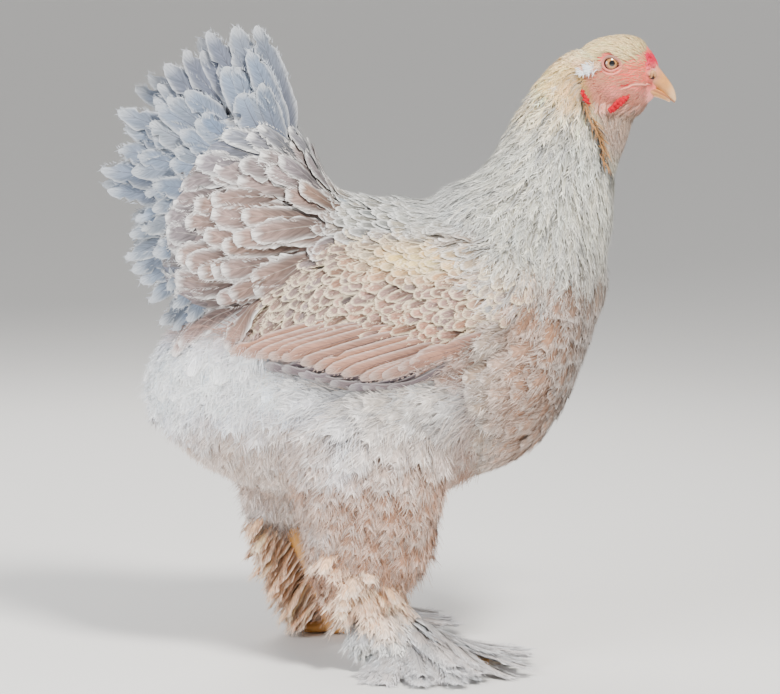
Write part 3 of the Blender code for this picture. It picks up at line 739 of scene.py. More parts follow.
def finish(name, roughness=0.7, **settings):
    """A material with its shader's own sockets set, and its tree and shader."""
    look = bpy.data.materials.new(name)
    look.use_nodes = True
    tree = look.node_tree
    shader = tree.nodes["Principled BSDF"]
    shader.inputs["Roughness"].default_value = roughness
    for label, value in settings.items():
        shader.inputs[label.replace("_", " ")].default_value = value
    return look, tree, shader


def bumped(tree, shader, height, strength, distance):
    bump = add(tree, "Bump", Strength=strength, Distance=distance, Height=height)
    feed(tree, shader.inputs["Normal"], bump.outputs["Normal"])


def feather_look(name, barbs, streak, slope, shaft=(0.85, 0.8, 0.7), shaft_share=0.35, pencil=0.0):
    """Feather vanes: fine barbs that run out and forwards from the shaft, a paler or darker shaft, and
    pencilling, faint dark bands that follow the feather's outline."""
    look, tree, shader = finish(name, 0.72, Sheen_Weight=0.10, Sheen_Roughness=0.5, Specular_IOR_Level=0.3)
    own = add(tree, "UVMap", uv_map="Feather")
    across, along, rest = add(tree, "SeparateXYZ", Vector=own.outputs[0]).outputs
    out = sums(tree, "ABSOLUTE", sums(tree, "SUBTRACT", across, 0.5))
    phase = sums(tree, "SUBTRACT", along, sums(tree, "MULTIPLY", out, slope))
    spot = add(
        tree, "CombineXYZ",
        X=sums(tree, "MULTIPLY", phase, barbs),
        Y=sums(tree, "MULTIPLY", out, 3.0),
        Z=sums(tree, "MULTIPLY", own_tint(tree).outputs["Alpha"], 50.0),
    )
    grain = add(tree, "TexNoise", Vector=spot.outputs[0], Scale=1.0, Detail=3.0, Roughness=0.6)
    shade = sums(tree, "ADD", sums(tree, "MULTIPLY", grain.outputs["Fac"], 2 * streak), 1 - streak)
    if pencil:
        rings = sums(tree, "ADD", along, sums(tree, "MULTIPLY", sums(tree, "POWER", out, 2.0), -1.6))
        wave = sums(tree, "SINE", sums(tree, "MULTIPLY", rings, 42.0))
        bands = sums(tree, "ADD", sums(tree, "MULTIPLY", wave, pencil / 2), 1.0)
        shade = sums(tree, "MULTIPLY", shade, bands)
    thin = sums(tree, "SUBTRACT", 0.028, sums(tree, "MULTIPLY", along, 0.02))
    on_shaft = sums(tree, "MULTIPLY", sums(tree, "LESS_THAN", out, thin), shaft_share)
    feed(tree, shader.inputs["Base Color"], blended(tree, on_shaft, shaded_tint(tree, shade), shaft))
    bumped(tree, shader, grain.outputs["Fac"], 0.5, 0.0006)
    return look


def tinted_look(name, roughness, **settings):
    """A material with the colour of each point's own tint."""
    look, tree, shader = finish(name, roughness, **settings)
    feed(tree, shader.inputs["Base Color"], own_tint(tree).outputs["Color"])
    return look


def skin_look(name, scale, strength=0.4, roughness=0.55, **settings):
    """Skin: its tint mottled by noise, with fine pimples."""
    look, tree, shader = finish(name, roughness, **{"Specular_IOR_Level": 0.35, **settings})
    spot = add(tree, "TexCoord").outputs["Object"]
    mottle = add(tree, "TexNoise", Vector=spot, Scale=scale * 0.35, Detail=4.0, Roughness=0.6)
    pimples = add(tree, "TexVoronoi", Vector=spot, Scale=scale)
    shade = sums(tree, "ADD", sums(tree, "MULTIPLY", mottle.outputs["Fac"], 0.5), 0.75)
    feed(tree, shader.inputs["Base Color"], shaded_tint(tree, shade))
    bumped(tree, shader, pimples.outputs["Distance"], strength, 0.0004)
    return look


def trunk_half(x, z):
    """Half width of the trunk at a place seen from the side."""
    rows = np.array(TRUNK)[::-1]
    top, low, half = (np.interp(x, rows[:, 0], rows[:, k]) for k in (1, 2, 3))
    t = np.clip(np.abs(2 * z - top - low) / np.maximum(top - low, 1), 0, 0.99)
    return half * (1 - t**2.1) ** (1 / 2.1)


def wing_grid(side):
    """Rings of the folded wing under its feathers: a low swelling along the trunk's side."""
    rows = spline_weights(len(WING), evenly(50)) @ np.array(WING, float)
    angle = circle(48)
    z = (rows[:, 1, None] + rows[:, 2, None]) / 2 + (rows[:, 1, None] - rows[:, 2, None]) / 2 * np.sin(angle)
    x = rows[:, 0, None] + 0 * z
    out = trunk_half(x, z) - 4 + rows[:, 3, None] * (0.2 + 1.1 * np.cos(angle))
    return np.stack([x, side * out, z], axis=2)


def from_hub(angles, reach, away):
    """Points of the tail's fan: degrees from straight ahead through up, reach from the hub, and y."""
    turn = np.radians(angles)
    return TAIL_HUB + np.stack([reach * np.cos(turn), away + 0 * turn, reach * np.sin(turn)], axis=1)


def arched(roots, tips, rise, steps=5):
    """Paths from roots to tips that bulge by the vector rise halfway."""
    t = evenly(steps)[None, :, None]
    bulge = np.broadcast_to(rise, roots.shape)[:, None] * 4 * t * (1 - t)
    return roots[:, None] * (1 - t) + tips[:, None] * t + bulge


def smooth_path(points, count):
    return spline_weights(len(points), evenly(count)) @ np.asarray(points, float)


def tube(path, radii, sides, closed=False, flat=1.0, hint=(0.0, 0.0, 1.0)):
    """Grid of rings round a path: path + radius * (cos(a) * across + flat * sin(a) * up)."""
    if closed:
        along = unit(np.roll(path, -1, axis=0) - np.roll(path, 1, axis=0))
    else:
        along = unit(np.gradient(path, axis=0))
    across = unit(np.cross(along, np.broadcast_to(hint, along.shape)))
    up = np.cross(across, along)
    angle = circle(sides)
    ring = np.cos(angle)[:, None] * across[:, None] + flat * np.sin(angle)[:, None] * up[:, None]
    return path[:, None] + np.broadcast_to(radii, len(path))[:, None, None] * ring


def ball(centre, radii, axis=(0.0, 1.0, 0.0), rows=24, columns=32):
    """Grid of rings of an ellipsoid about an axis, from the pole the axis points to."""
    axis = unit(np.array(axis, float))
    across = unit(np.cross(axis, (0.0, 0.0, 1.0) if abs(axis[2]) < 0.9 else (1.0, 0.0, 0.0)))
    up = np.cross(axis, across)
    polar = np.linspace(0.02, math.pi - 0.02, rows)
    turn = circle(columns)
    ring = np.cos(turn)[:, None] * across + np.sin(turn)[:, None] * up
    grid = np.cos(polar)[:, None, None] * axis + np.sin(polar)[:, None, None] * ring
    return np.asarray(centre) + grid * np.asarray(radii)


def neck_edge(x):
    """Height of the hackle's lower edge."""
    return np.where(x < 112, 371 - 0.80 * (x - 30), 305.4 + 0.33 * (x - 112))


def is_neck(p):
    return ramp(p[:, 2] - neck_edge(p[:, 0]), -8, 4) * ramp(p[:, 0], 14, 30)


def before_streak(p):
    """Millimetres by which a place lies before the line from the ear down the side of the neck."""
    return (66 * (p[:, 0] - 150) + 24 * (p[:, 2] - 462)) / 70


def is_hackle(p):
    throat = ramp(before_streak(p), -2, 3) * ramp(p[:, 2], 398, 408)
    return is_neck(p) * ramp(over_head_line(p[:, 0], p[:, 2]), 12, 4) * (1 - throat)


def is_throat(p):
    """The front of the neck, from the cheek and the chin down to where the hackle closes round it."""
    high = ramp(p[:, 2], 443, 437)
    return ramp(before_streak(p), -2, 2) * ramp(p[:, 2], 390, 400) * high * ramp(p[:, 0], 120, 130)


def inside(p, outline):
    """1 for points whose x and z lie inside an outline, by the count of its edges crossed."""
    x, z = p[:, 0, None], p[:, 2, None]
    a = np.array(outline, float)
    b = np.roll(a, -1, axis=0)
    between = (a[:, 1] > z) != (b[:, 1] > z)
    slope = (b[:, 0] - a[:, 0]) / np.where(b[:, 1] == a[:, 1], 1e-9, b[:, 1] - a[:, 1])
    return (np.sum(between & (x < a[:, 0] + (z - a[:, 1]) * slope), axis=1) % 2).astype(float)


WING_OUTLINE = (
    (45, 342), (-7.5, 339), (-68, 316), (-127, 256), (-83, 254), (-45, 242), (-15, 232), (8, 231),
    (38, 240), (83, 263), (106, 293), (109, 312),
)


def is_wing(p):
    return inside(p, WING_OUTLINE) * (np.abs(p[:, 1]) > 60)


def wander(p):
    """Millimetres by which an edge between two parts of the coat strays."""
    x, y, z = p.T
    return 8 * np.sin(z / 13 + y / 21) + 5 * np.sin(z / 5.1 + x / 9 + 1)


def is_cushion(p):
    return ramp(p[:, 0], -22, -44) * ramp(p[:, 2], 250, 268) * (1 - is_wing(p))


def is_leg(p):
    """The thighs, below the trunk's sides."""
    return ramp(p[:, 2], 236, 205) * ramp(p[:, 0], 78, 58) * (np.abs(p[:, 1]) > 12) * off_primaries(p)


def wing_foot(x):
    """Height of the folded wing's lower edge."""
    return np.interp(x, (-127, -83, -45, -15, 8, 38, 83), (256, 252, 239, 229, 228, 240, 263))


def off_primaries(p):
    """1 but for the band under the wing's edge that the ends of the primaries lie over."""
    x, z = p[:, 0], p[:, 2]
    return 1 - ramp(wing_foot(x) - z, 14, 8) * ramp(x, -105, -90) * ramp(x, 40, 20)


def is_covert(p):
    """The wing but for the ends of its flight feathers along the lower edge."""
    return is_wing(p) * ramp(p[:, 2] - wing_foot(p[:, 0]) - 16 * ramp(p[:, 0], 60, 10), 0, 4)


def is_fluff(p):
    return ramp(p[:, 0] + wander(p), -46, -74) * ramp(p[:, 2] + 0.5 * wander(p), 272, 252) * off_primaries(p)


def is_saddle(p):
    """The back, between the hackle and the cushion and down to the wings."""
    rest = (1 - is_wing(p)) * (1 - is_neck(p)) * (1 - is_cushion(p))
    return rest * ramp(p[:, 2] + 0.5 * wander(p), 318, 328) * ramp(p[:, 0], 110, 95)


def is_body(p):
    rest = (1 - is_wing(p)) * (1 - is_neck(p)) * (1 - is_cushion(p)) * (1 - is_saddle(p))
    return rest * (1 - is_leg(p)) * (1 - is_fluff(p)) * off_primaries(p)


body_feather = feather_look("body feathers", 26.0, 0.8, 0.5, shaft_share=0.16, pencil=0.3)
tail_feather = feather_look("tail feathers", 60.0, 0.75, 0.22, shaft=(0.07, 0.07, 0.09), shaft_share=0.8)
down = tinted_look("down", 0.85, Sheen_Weight=0.2, Sheen_Roughness=0.6, Specular_IOR_Level=0.2)

skin = grown_together(
    "skin",
    [
        loft([(x, top, x, low, half) for x, top, low, half in TRUNK], 60, 72, inset=7),
        loft(NECK, 50, 60, inset=5),
        loft(TAIL_BASE, 50, 72, inset=10),
        *[loft(THIGHS[side], 50, 56, side=side, inset=10) for side, word in SIDES],
        *[wing_grid(side) for side, word in SIDES],
    ],
    2.6, 8, down,
)


def tinted(obj, colours):
    add_tint(obj.data, even_tint(colours, len(obj.data.vertices)))


tinted(skin, coat_colour(places_of(skin.data)) * 0.8)
wear(skin, COAT, "torso", "neck", "tail", "wing_right", "wing_left", "thigh_right", "thigh_left")


LAID_STEPS = 4  # points of a feather's path over the skin


def coat_set(label, wanted, spacing, length, width, lift, seed, tip=round_tip, look=body_feather,
             under=skin, swirl=0.12, hold=1.0, spread=0.08, warmth=0.02, depth=0.5, vary=0.15, rows=9,
             **shape):
    """Feathers spread over the part of the skin where wanted, laid along the flow.

    length, width and lift, the height of the end over the skin, are numbers or functions of the roots. depth
    is the share of its light that a feather loses at its root, and vary how far lengths stray.
    """
    chance = np.random.default_rng(seed)
    roots, normals = scattered(under, spacing, lambda p, n: wanted(p), chance)
    length, width, lift = (value(roots) if callable(value) else np.full(len(roots), float(value))
                           for value in (length, width, lift))
    length = length * chance.uniform(1 - vary, 1 + vary, len(roots))
    width = width * chance.uniform(0.88, 1.1, len(roots))
    lift = lift * chance.uniform(0.8, 1.2, len(roots))
    lifts = [0.4 + (lift - 0.4) * s for s in evenly(LAID_STEPS) ** 0.7]
    path, up = laid(roots, under, length, lifts, swirl=swirl, hold=hold, chance=chance)
    light = 1 - depth * ramp(1 - (1 - evenly(rows)) ** 1.5, 0.97, 0.4)
    colours = varied(coat_colour(path[:, -2]), chance, spread, warmth)[:, None] * light[:, None]
    for side, word in SIDES:
        here = (path[:, 0, 1] < 0) == (side == RIGHT)
        feathers(f"{label}_{word}", path[here], up[here], width[here], tip, colours[here], look, chance,
                 rows=rows, **shape)


def profile(axis, at, values):
    """A function of points that reads values off their places along an axis."""
    return lambda p: np.interp(p[:, axis], at, values)


X, Z = 0, 2
hackle_length = profile(Z, (330, 380, 430, 475), (52, 46, 34, 20))
hackle_width = profile(Z, (330, 400, 475), (6.6, 5.4, 3.6))
leg_length = profile(Z, (60, 140), (25, 38))
leg_lift = profile(Z, (60, 140), (4.5, 8.5))

coat_set("hackle", is_hackle, 4.6, hackle_length, hackle_width, 4.4, 11, tip=lance_tip, rows=7, columns=3,
         rim=WHITE, rim_share=0.6, spread=0.42, depth=0.8, barbs=14, barb_length=7, barb_width=0.8)
coat_set("body", is_body, 10.5, 40, 19, 6.0, 12, rim=WHITE, rim_share=0.4, splits=0.2, barbs=60,
         barb_length=7, columns=7, depth=0.4)
coat_set("saddle", is_saddle, 7.2, 29, 11, 5.2, 19, tip=leaf_tip, rim=WHITE, rim_share=0.8, spread=0.22,
         warmth=0.03, rows=8, barbs=12, barb_length=3, barb_width=0.6, inner=0.8, depth=0.68)
coat_set("wing_coverts", is_covert, 6.5, 24, 9.4, 4.8, 13, tip=leaf_tip, rim=paler(CREAM, 0.5), rim_share=0.9,
         spread=0.2, warmth=0.04, rows=8, barbs=10, barb_length=2.6, barb_width=0.6, inner=0.8, depth=0.68)
coat_set("cushion", is_cushion, 13.5, 60, 19, 9.0, 14, rim=WHITE, rim_share=0.8, rows=16, columns=9,
         splits=0.06, barbs=50, barb_length=4, barb_width=0.6, inner=0.85, depth=0.6, spread=0.12,
         warmth=0.025)
coat_set("leg_feathers", is_leg, 9.5, leg_length, 17, leg_lift, 15, rim=WHITE, rim_share=0.4, fray=0.22,
         hold=0.7, splits=0.3, barbs=80, barb_length=9, spread=0.1)
coat_set("fluff_feathers", is_fluff, 9.0, 30, 20, 7.0, 16, look=down, fray=0.3, barbs=60, barb_length=10,
         depth=0.1)

strand = dict(tip=strand_tip, look=down, rows=4, columns=2, cup=0.0, fray=0.0, hold=0.4, spread=0.10)
coat_set("fluff_down", is_fluff, 1.6, 18, 0.7, 9, 17, swirl=1.1, vary=0.35, depth=0.12, **strand)
coat_set("leg_down", is_leg, 2.6, 26, 0.9, 10, 18, swirl=0.5, vary=0.3, depth=0.25, **strand)


def make_flight(side, word):
    """The folded wing's flight feathers: primaries that end under its lower edge, secondaries over them."""
    chance = np.random.default_rng(61)
    parts = (
        # name, count, first and last end x, drop under the edge, way to the root, width, lift, colour
        ("primaries", 9, -98, 14, 22, (78, 34), 11, (10.5, 9.5), mix(SMOKE, BLUSH, 0.3)),
        ("secondaries", 15, -128, 40, 0, (80, 22), 11, (12.0, 10.0), mix(BUFF, BLUSH, 0.55)),
    )
    for name, count, first, last, drop, ahead, width, lifted, colour in parts:
        x = np.linspace(first, last, count) + chance.uniform(-2, 2, count)
        end = np.stack([x, np.full(count, side * 130.0), wing_foot(x) - drop + 2], axis=1)
        roots = end + (ahead[0], 0, ahead[1])
        heading = unit(end - roots)
        lift = np.linspace(*lifted, count)
        length = np.full(count, float(np.hypot(*ahead)))
        path, up = laid(roots, skin, length, [lift * s for s in (0.25, 0.4, 0.6, 0.85, 1.0)], heading=heading)
        shade = varied(np.tile(colour, (count, 1)), chance, 0.08)
        light = 1 - 0.25 * ramp(evenly(14), 0.7, 0.1)
        feathers(
            f"{name}_{word}", path, up, np.full(count, float(width)), blade_tip,
            shade[:, None] * light[:, None], tail_feather, chance, rows=14, columns=7, cup=0.15, fray=0.03,
            rim=paler(colour, 0.55), rim_share=0.6, tilt=side * 12, splits=0.1, barbs=30, barb_length=2.5,
            barb_width=0.7, inner=0.8,
        )


on_both_sides(make_flight)

TAIL_TIERS = (
    # count, first and last angle, reach and its gain, y at root and tip and their gains, width, darkness
    # (painted shade)
    (13, 103, 177, 137, 18, 20, 10, 6, 4, 24, 0.25),
    (12, 102, 179, 114, 19, 28, 20, 8, 6, 23, 0.05),
    (10, 106, 183, 90, 21, 36, 30, 8, 12, 23, 0.0),
    (9, 186, 230, 144, 4, 22, 32, 4, 12, 22, 0.1),
    (8, 184, 226, 122, 8, 30, 42, 4, 10, 22, 0.0),
)


def make_tail():
    """The tail's large feathers and their coverts, in fans that spread from the hub on each side."""
    chance = np.random.default_rng(3)
    for side, word in SIDES:
        parts = []
        for count, first, last, reach, gain, root_y, tip_y, root_more, tip_more, width, dark in TAIL_TIERS:
            t = evenly(count)
            angles = first + (last - first) * t + chance.uniform(-2.0, 2.0, count)
            gap = np.exp(-(((angles - 125) / 14) ** 2))
            if dark < 0.2 and last < 185:
                angles = angles + 6 * np.sign(angles - 125) * gap
            length = (reach + gain * np.minimum(1, 1.25 * t)) * chance.uniform(0.90, 1.03, count)
            roots = from_hub(angles, 30, side * (root_y + root_more * t))
            tips = from_hub(angles + 3, length, side * (tip_y + tip_more * t))
            back, rise = chance.normal(0, 3, count), chance.normal(0, 3, count)
            bulge = np.stack([back, np.full(count, 5.0 * side), rise], axis=1)
            broad = width * chance.uniform(0.85, 1.08, count)
            # painted shade: the hind tier is darker still where the gap in the tiers before it opens
            parts.append((arched(roots, tips, bulge), broad, dark + 0.6 * gap * (dark == 0.25)))
        path, widths, dark = (np.concatenate([part[k] for part in parts]) for k in range(3))
        up = np.broadcast_to((0.0, side, 0.0), path.shape)
        shade = varied(np.tile(LAVENDER, (len(path), 1)), chance, 0.12, 0.02)
        rows = 22
        # painted shade towards each feather's root, where it lies under the others
        dark_root = ramp(evenly(rows), 0.85, 0.25)[None, :]
        colours = mix(shade[:, None], SMOKE, np.clip(0.6 * dark_root + dark[:, None], 0, 0.9))
        feathers(
            "tail_feathers_" + word, path, up, widths, plume_tip, colours, tail_feather, chance,
            rows=rows, columns=9, cup=0.2, fray=0.05, rim=paler(LAVENDER, 0.6), rim_share=0.6,
            tilt=-side * 16, splits=0.14, barbs=50, barb_length=4, barb_width=0.6, inner=0.9, slot=GREY,
        )


make_tail()


def from_eye(p):
    return np.hypot(p[..., 0] - EYE[0], p[..., 2] - EYE[2])


def nostril_frame(p):
    """The points tilted so that the nostril lies level."""
    return p + (0, 0, 1.0) * (0.35 * (p[..., :1] - 206))


def face_colour(p):
    """Bare skin: pink, redder at the comb, the mouth's corner, the ear and round the eye, and paler below,
    with painted shade in the nostril's slit and the eye's front corner.
    """
    x, z = p[:, 0], p[:, 2]
    tilted = nostril_frame(p)
    rosy = blob(p, 166, 470, 9, 9) + blob(p, 186, 460, 12, 7) + 1.2 * blob(p, 203, 470, 6, 9)
    patchy = 1 + 0.5 * np.sin(z * 1.3 + x) * np.sin(x * 1.7)
    deep = blob(p, 183, 454.5, 5, 2.0) + blob(p, 153, 447, 3, 8) + blob(p, 181, 441, 9, 4)
    return layered(
        PINK,
        (paler(PINK, 0.3), ramp(z, 462, 440)),
        (MAUVE, 0.35 * ramp(z, 470, 484)),
        ((0.82, 0.07, 0.06), np.clip(0.75 * rosy, 0, 0.85)),
        (RED, np.clip(1.1 * blob(p, 204.5, 475.5, 4.6, 6.0) * patchy, 0, 0.92)),
        ((0.72, 0.42, 0.38), np.clip(1.2 * blob(p, 208, 464, 4.5, 5), 0, 1)),
        ((0.60, 0.36, 0.20), np.clip(1.3 * blob(tilted, 206.3, 463.2, 3.6, 1.7), 0, 1)),
        # painted shade in the nostril's slit
        ((0.16, 0.05, 0.03), np.clip(1.3 * blob(tilted, 205.4, 460.3, 3.8, 0.8), 0, 1)),
        (RED, np.clip(1.1 * deep, 0, 0.9)),
        # painted shade in the eye's front corner, where the lids meet
        (MAUVE * 0.8, 0.8 * blob(p, 180.3, 469.5, 2.2, 2.0)),
    )


def make_face():
    """The head's skin: its loft with a socket and folds round each eye, a brow, a lore and a full cheek."""
    grid = loft(HEAD, 110, 120)
    x, y, z = np.moveaxis(grid, 2, 0)
    away = from_eye(grid)
    tilted = nostril_frame(grid)
    folds = 0.30 * np.exp(-(((away - 10.5) / 1.1) ** 2)) + 0.22 * np.exp(-(((away - 13.2) / 1.0) ** 2))
    rise = -3.4 * ramp(away, 7.2, 5.0) + folds * ramp(z, 476, 468)
    rise = rise + 1.1 * blob(grid, 172, 481.5, 13, 3.2) + 1.2 * blob(grid, 174, 450, 12, 8)
    rise = rise - 1.3 * blob(grid, 191, 467, 8, 5) - 0.9 * blob(grid, 187, 454.8, 9, 1.6)
    rise = rise + 1.7 * blob(tilted, 206.3, 463.0, 3.8, 2.0) - 1.8 * blob(tilted, 205.6, 460.2, 3.8, 0.8)
    under_beak = ramp(x + 0.9 * (458 - z), 199, 208) * ramp(z, 463, 456)
    rise = rise - 4.2 * under_beak * ramp(x, 190, 204)
    grid = grid + outward(grid) * (rise * ramp(np.abs(y), 4, 12))[..., None]
    look = skin_look("face skin", 900.0, 0.5)
    return body_of_grid("face", grid, look, face_colour(grid.reshape(-1, 3)), "face_skin", "head")


face = make_face()


def make_ridge(name, path, normals, thick, lift, ends, power, look, colour, sides=12):
    """A slim fold along a path on the face, with the radius thick * sin(a)^power from end to end."""
    a = np.linspace(ends[0], math.pi - ends[1], len(path))
    grid = tube(path + normals * lift, thick * np.sin(a) ** power, sides, hint=(0, 1, 0))
    body_of_grid(name, grid, look, colour, "face_skin")


def make_eye(side, word):
    """Eyeball with pupil, amber iris and dark rim, its two lids, and the pink fold under them."""
    gaze = unit(np.array((0.10, side, 0.02)))
    centre = EYE * (1, side, 1)
    grid = ball(centre, (7.4, 7.4, 7.4), gaze, 120, 96)
    off = np.linalg.norm(np.cross(grid - centre, gaze), axis=2)
    front = np.sum((grid - centre) * gaze, axis=2) > 0
    chance = np.random.default_rng(21)
    rays = 1 + 0.18 * np.repeat(chance.normal(0, 1, (1, 96)), 120, axis=0) * ramp(off, 2.2, 3.4)
    iris = mix((0.50, 0.22, 0.06), (0.20, 0.085, 0.03), ramp(off, 2.9, 4.6)) * rays[..., None]
    pupil, rim, behind = (0.004, 0.004, 0.005), (0.035, 0.02, 0.02), (0.03, 0.02, 0.02)
    colour = layered(pupil, (iris, ramp(off, 2.3, 2.55)), (rim, ramp(off, 4.5, 4.9)))
    colour = np.clip(mix(behind, colour, front.astype(float)), 0, 1)
    look = tinted_look("wet eye", 0.12, Coat_Weight=1.0, Coat_Roughness=0.02, Specular_IOR_Level=0.6)
    body_of_grid("eyeball_" + word, grid, look, colour, "eye", "eye_" + word)

    lid_look = skin_look("lid skin", 1600.0, 0.25)
    rings, sides = 97, 14
    turn = circle(rings - 1)
    brow = np.clip(np.sin(turn), 0, 1)
    corner = np.clip(np.cos(turn), 0, 1) ** 6
    path = np.stack([
        EYE[0] + 6.5 * np.cos(turn) + 1.8 * corner,
        side * (21.7 - 0.35 * np.cos(turn)),
        EYE[2] + (5.8 - 0.5 * brow) * np.sin(turn) - 1.1 * corner - 0.8 * brow * np.cos(turn),
    ], axis=1)
    lids = tube(path, 0.95 + 0.35 * brow, sides, closed=True, hint=(0, 1, 0))
    lids = np.concatenate([lids, lids[:1]])
    shade = mix((0.66, 0.20, 0.15), (0.30, 0.16, 0.12), np.append(brow, brow[0]))
    tint = even_tint(np.repeat(shade, sides, axis=0), rings * sides)
    lids = new_piece("lids_" + word, lids.reshape(-1, 3), [grid_faces(rings, sides)], lid_look, tint)
    wear(lids, "face_skin")

    turn = np.radians(np.linspace(140, 345, 40))
    beside = np.stack([9.0 * np.cos(turn), 0 * turn + side * 24.0, 8.2 * np.sin(turn)], axis=1)
    below = EYE * (1, 0, 1) + beside
    path, normals = touch(below, face)
    make_ridge("eye_fold_" + word, path, normals, 1.1, 0.1, (0.05, 0.05), 0.5, lid_look, (0.80, 0.24, 0.18))


on_both_sides(make_eye)


def make_beak():
    """Upper half over the lower: horn with a dark ridge, a pale tip, painted shade in the nostril under its
    flap, and painted shade along the mouth, where the two halves meet.
    """
    look = skin_look("beak horn", 500.0, 0.08, 0.32, Coat_Weight=0.3)
    halves = (
        # half, rings from the face to the tip: top x, z, low x, z, half width
        ("upper", (
            (200, 481, 197, 453.6, 10.4), (210, 472, 204, 453.2, 9.6), (217, 463.5, 211, 451, 7.4),
            (222, 457, 217, 447.4, 5.4), (225.3, 450.5, 221.5, 443.4, 3.5), (226.6, 444.5, 225.2, 440.8, 1.3),
        )),
        ("lower", (
            (196, 457, 198, 446.5, 9.2), (204, 455, 205, 446.0, 8.4), (211, 453, 211.5, 445.0, 6.4),
            (217, 449.6, 217, 443.2, 4.4), (222, 445.4, 221.6, 441.4, 2.2),
        )),
    )
    for half, rows in halves:
        grid = loft(rows, 70, 64)
        if half == "upper":
            groove = 0.5 * blob(grid, 212, 459, 5, 1.0) * ramp(np.abs(grid[..., 1]), 2, 5)
            grid = grid - outward(grid) * groove[..., None]
        points = grid.reshape(-1, 3)
        x, y, z = points.T
        mouth = np.interp(x, (204, 217, 226), (453, 447, 441))
        colour = layered(
            (0.66, 0.26, 0.17),
            (HORN, ramp(x + 0.5 * (460 - z), 204, 216)),
            ((0.26, 0.17, 0.13), 0.75 * ramp(np.abs(y), 4, 0.5) * ramp(z, 448, 462)),
            # painted shade in the nostril, under its flap
            ((0.30, 0.12, 0.09), 0.8 * blob(points, 208.2, 461.3, 3.2, 0.9)),
            ((0.86, 0.58, 0.32), 0.7 * ramp(x - 0.3 * (z - 445), 215, 224)),
            # painted shade along the mouth, in the crease where the two halves meet
            ((0.26, 0.09, 0.05), 0.8 * ramp(np.abs(z - mouth), 1.8, 0.3)),
        )
        body_of_grid(half + "_beak", grid, look, colour, "horn", "beak_" + half)


make_beak()
red_skin = skin_look("red skin", 1100.0, 0.6, Specular_IOR_Level=0.15)
THIRDS = (0, 0.33, 0.67, 1)


def make_comb():
    """A pea comb: three low rows of bulbs at the beak's root, and smaller ones round them, in one skin."""
    ridge = smooth_path(((203, 0, 480), (206.5, 0, 477), (209.5, 0, 472), (211, 0, 467)), 24)
    bulbs = [tube(ridge, np.interp(evenly(24), THIRDS, (1.6, 2.4, 2.2, 1.6)), 20, hint=(0, 1, 0))]
    chance = np.random.default_rng(81)
    for off, radius, count in ((0, 1.5, 7), (-3.0, 1.3, 6), (3.0, 1.3, 6)):
        for i in range(count):
            t = (i + 0.5) / count
            spot = (203.6 + 7.4 * t, off, 482.0 - 5 * t - 8 * t * t - (1.2 if off else 0))
            spot = spot + chance.normal(0, 0.3, 3)
            size = np.array((1.0, 1.0, 1.15)) * radius * chance.uniform(0.8, 1.15)
            bulbs.append(ball(spot, size, rows=14, columns=18))
    t, share = chance.random(70) ** 0.8, chance.random(70)
    flat = np.stack([202.5 - 4 * t + (4.5 + 4 * (1 - t)) * share, 16 - 9 * share, 481 - 14.5 * t], axis=1)
    for side, word in SIDES:
        spots, normals = touch(flat * (1, side, 1), face)
        for spot, size in zip(spots, chance.uniform(0.8, 1.5, 70)):
            bulbs.append(ball(spot, (size, size * 0.75, size), rows=12, columns=16))
    comb = grown_together("pea_comb", bulbs, 0.4, 2, red_skin)
    tinted(comb, mix((0.55, 0.012, 0.05), (0.70, 0.14, 0.15), ramp(places_of(comb.data)[:, 2], 475, 467)))
    wear(comb, "comb_skin", "comb")


make_comb()


def make_face_parts(side, word):
    """The wrinkled wattle under the jaw, the ear lobe, the mouth's lip, and the nostril's flap and slit, the
    slit a dark ridge of painted shade for the nostril's hollow.
    """
    chance = np.random.default_rng(31)
    parts = (
        # name, marks of its middle line, radii at its ends and thirds, flatness
        ("wattle", ((192, 16, 451.5), (186, 19.8, 446.5), (179, 22.0, 440.5), (171.5, 22.4, 434.5)),
         (0.9, 1.6, 2.5, 1.5), 1.3),
        ("ear_lobe", ((150, 21.5, 451.5), (151.5, 22.8, 447.5), (153.8, 23, 443), (156, 23, 438.5)),
         (0.8, 1.9, 2.4, 1.2), 0.8),
    )
    for name, marks, radii, flat in parts:
        path = smooth_path(np.array(marks) * (1, side, 1), 60)
        grid = tube(path, np.interp(evenly(60), THIRDS, radii), 36, flat=flat)
        wrinkle = sum(np.sin(grid @ chance.normal(0, 1.7, 3) + chance.uniform(0, 6)) for k in range(7))
        grid = grid + outward(grid) * 0.27 * wrinkle[..., None]
        body_of_grid(f"soft_{name}_{word}", grid, red_skin, RED, "comb_skin", f"{name}_{word}")
    look = face.data.materials[0]
    mouth = ((179, 24, 450.6), (185, 24, 453.0), (192, 20, 455.6), (200, 14, 456.4), (206, 10, 455.0))
    path, normals = touch(smooth_path(mouth, 40) * (1, side, 1), face)
    make_ridge("lip_" + word, path, normals, 1.0, 0.15, (0.08, 0.15), 0.6, look, (0.80, 0.31, 0.23))
    parts = (
        # name, marks of its line over the face, thickness, colour
        ("flap", ((201.6, 463.0), (204.5, 464.2), (208.0, 462.8), (210.8, 460.0)), 1.8, (0.50, 0.25, 0.12)),
        # the slit: a dark ridge of painted shade, for the hollow of the nostril's opening
        ("slit", ((202.4, 461.2), (204.6, 461.4), (207.4, 460.2), (209.8, 457.8)), 0.9, (0.03, 0.012, 0.01)),
    )
    for name, marks, thick, colour in parts:
        marks = smooth_path([(mark_x, side * 14.0, mark_z) for mark_x, mark_z in marks], 30)
        path, normals = touch(marks, face)
        outer, outer_normals = touch(marks, bpy.data.objects["upper_beak"])
        over = (outer[:, 1] * side > path[:, 1] * side)[:, None]
        path, normals = np.where(over, outer, path), np.where(over, outer_normals, normals)
        make_ridge(f"nostril_{name}_{word}", path, normals, thick, 1.0, (0.1, 0.1), 0.7, look, colour,
                   sides=14)


on_both_sides(make_face_parts)


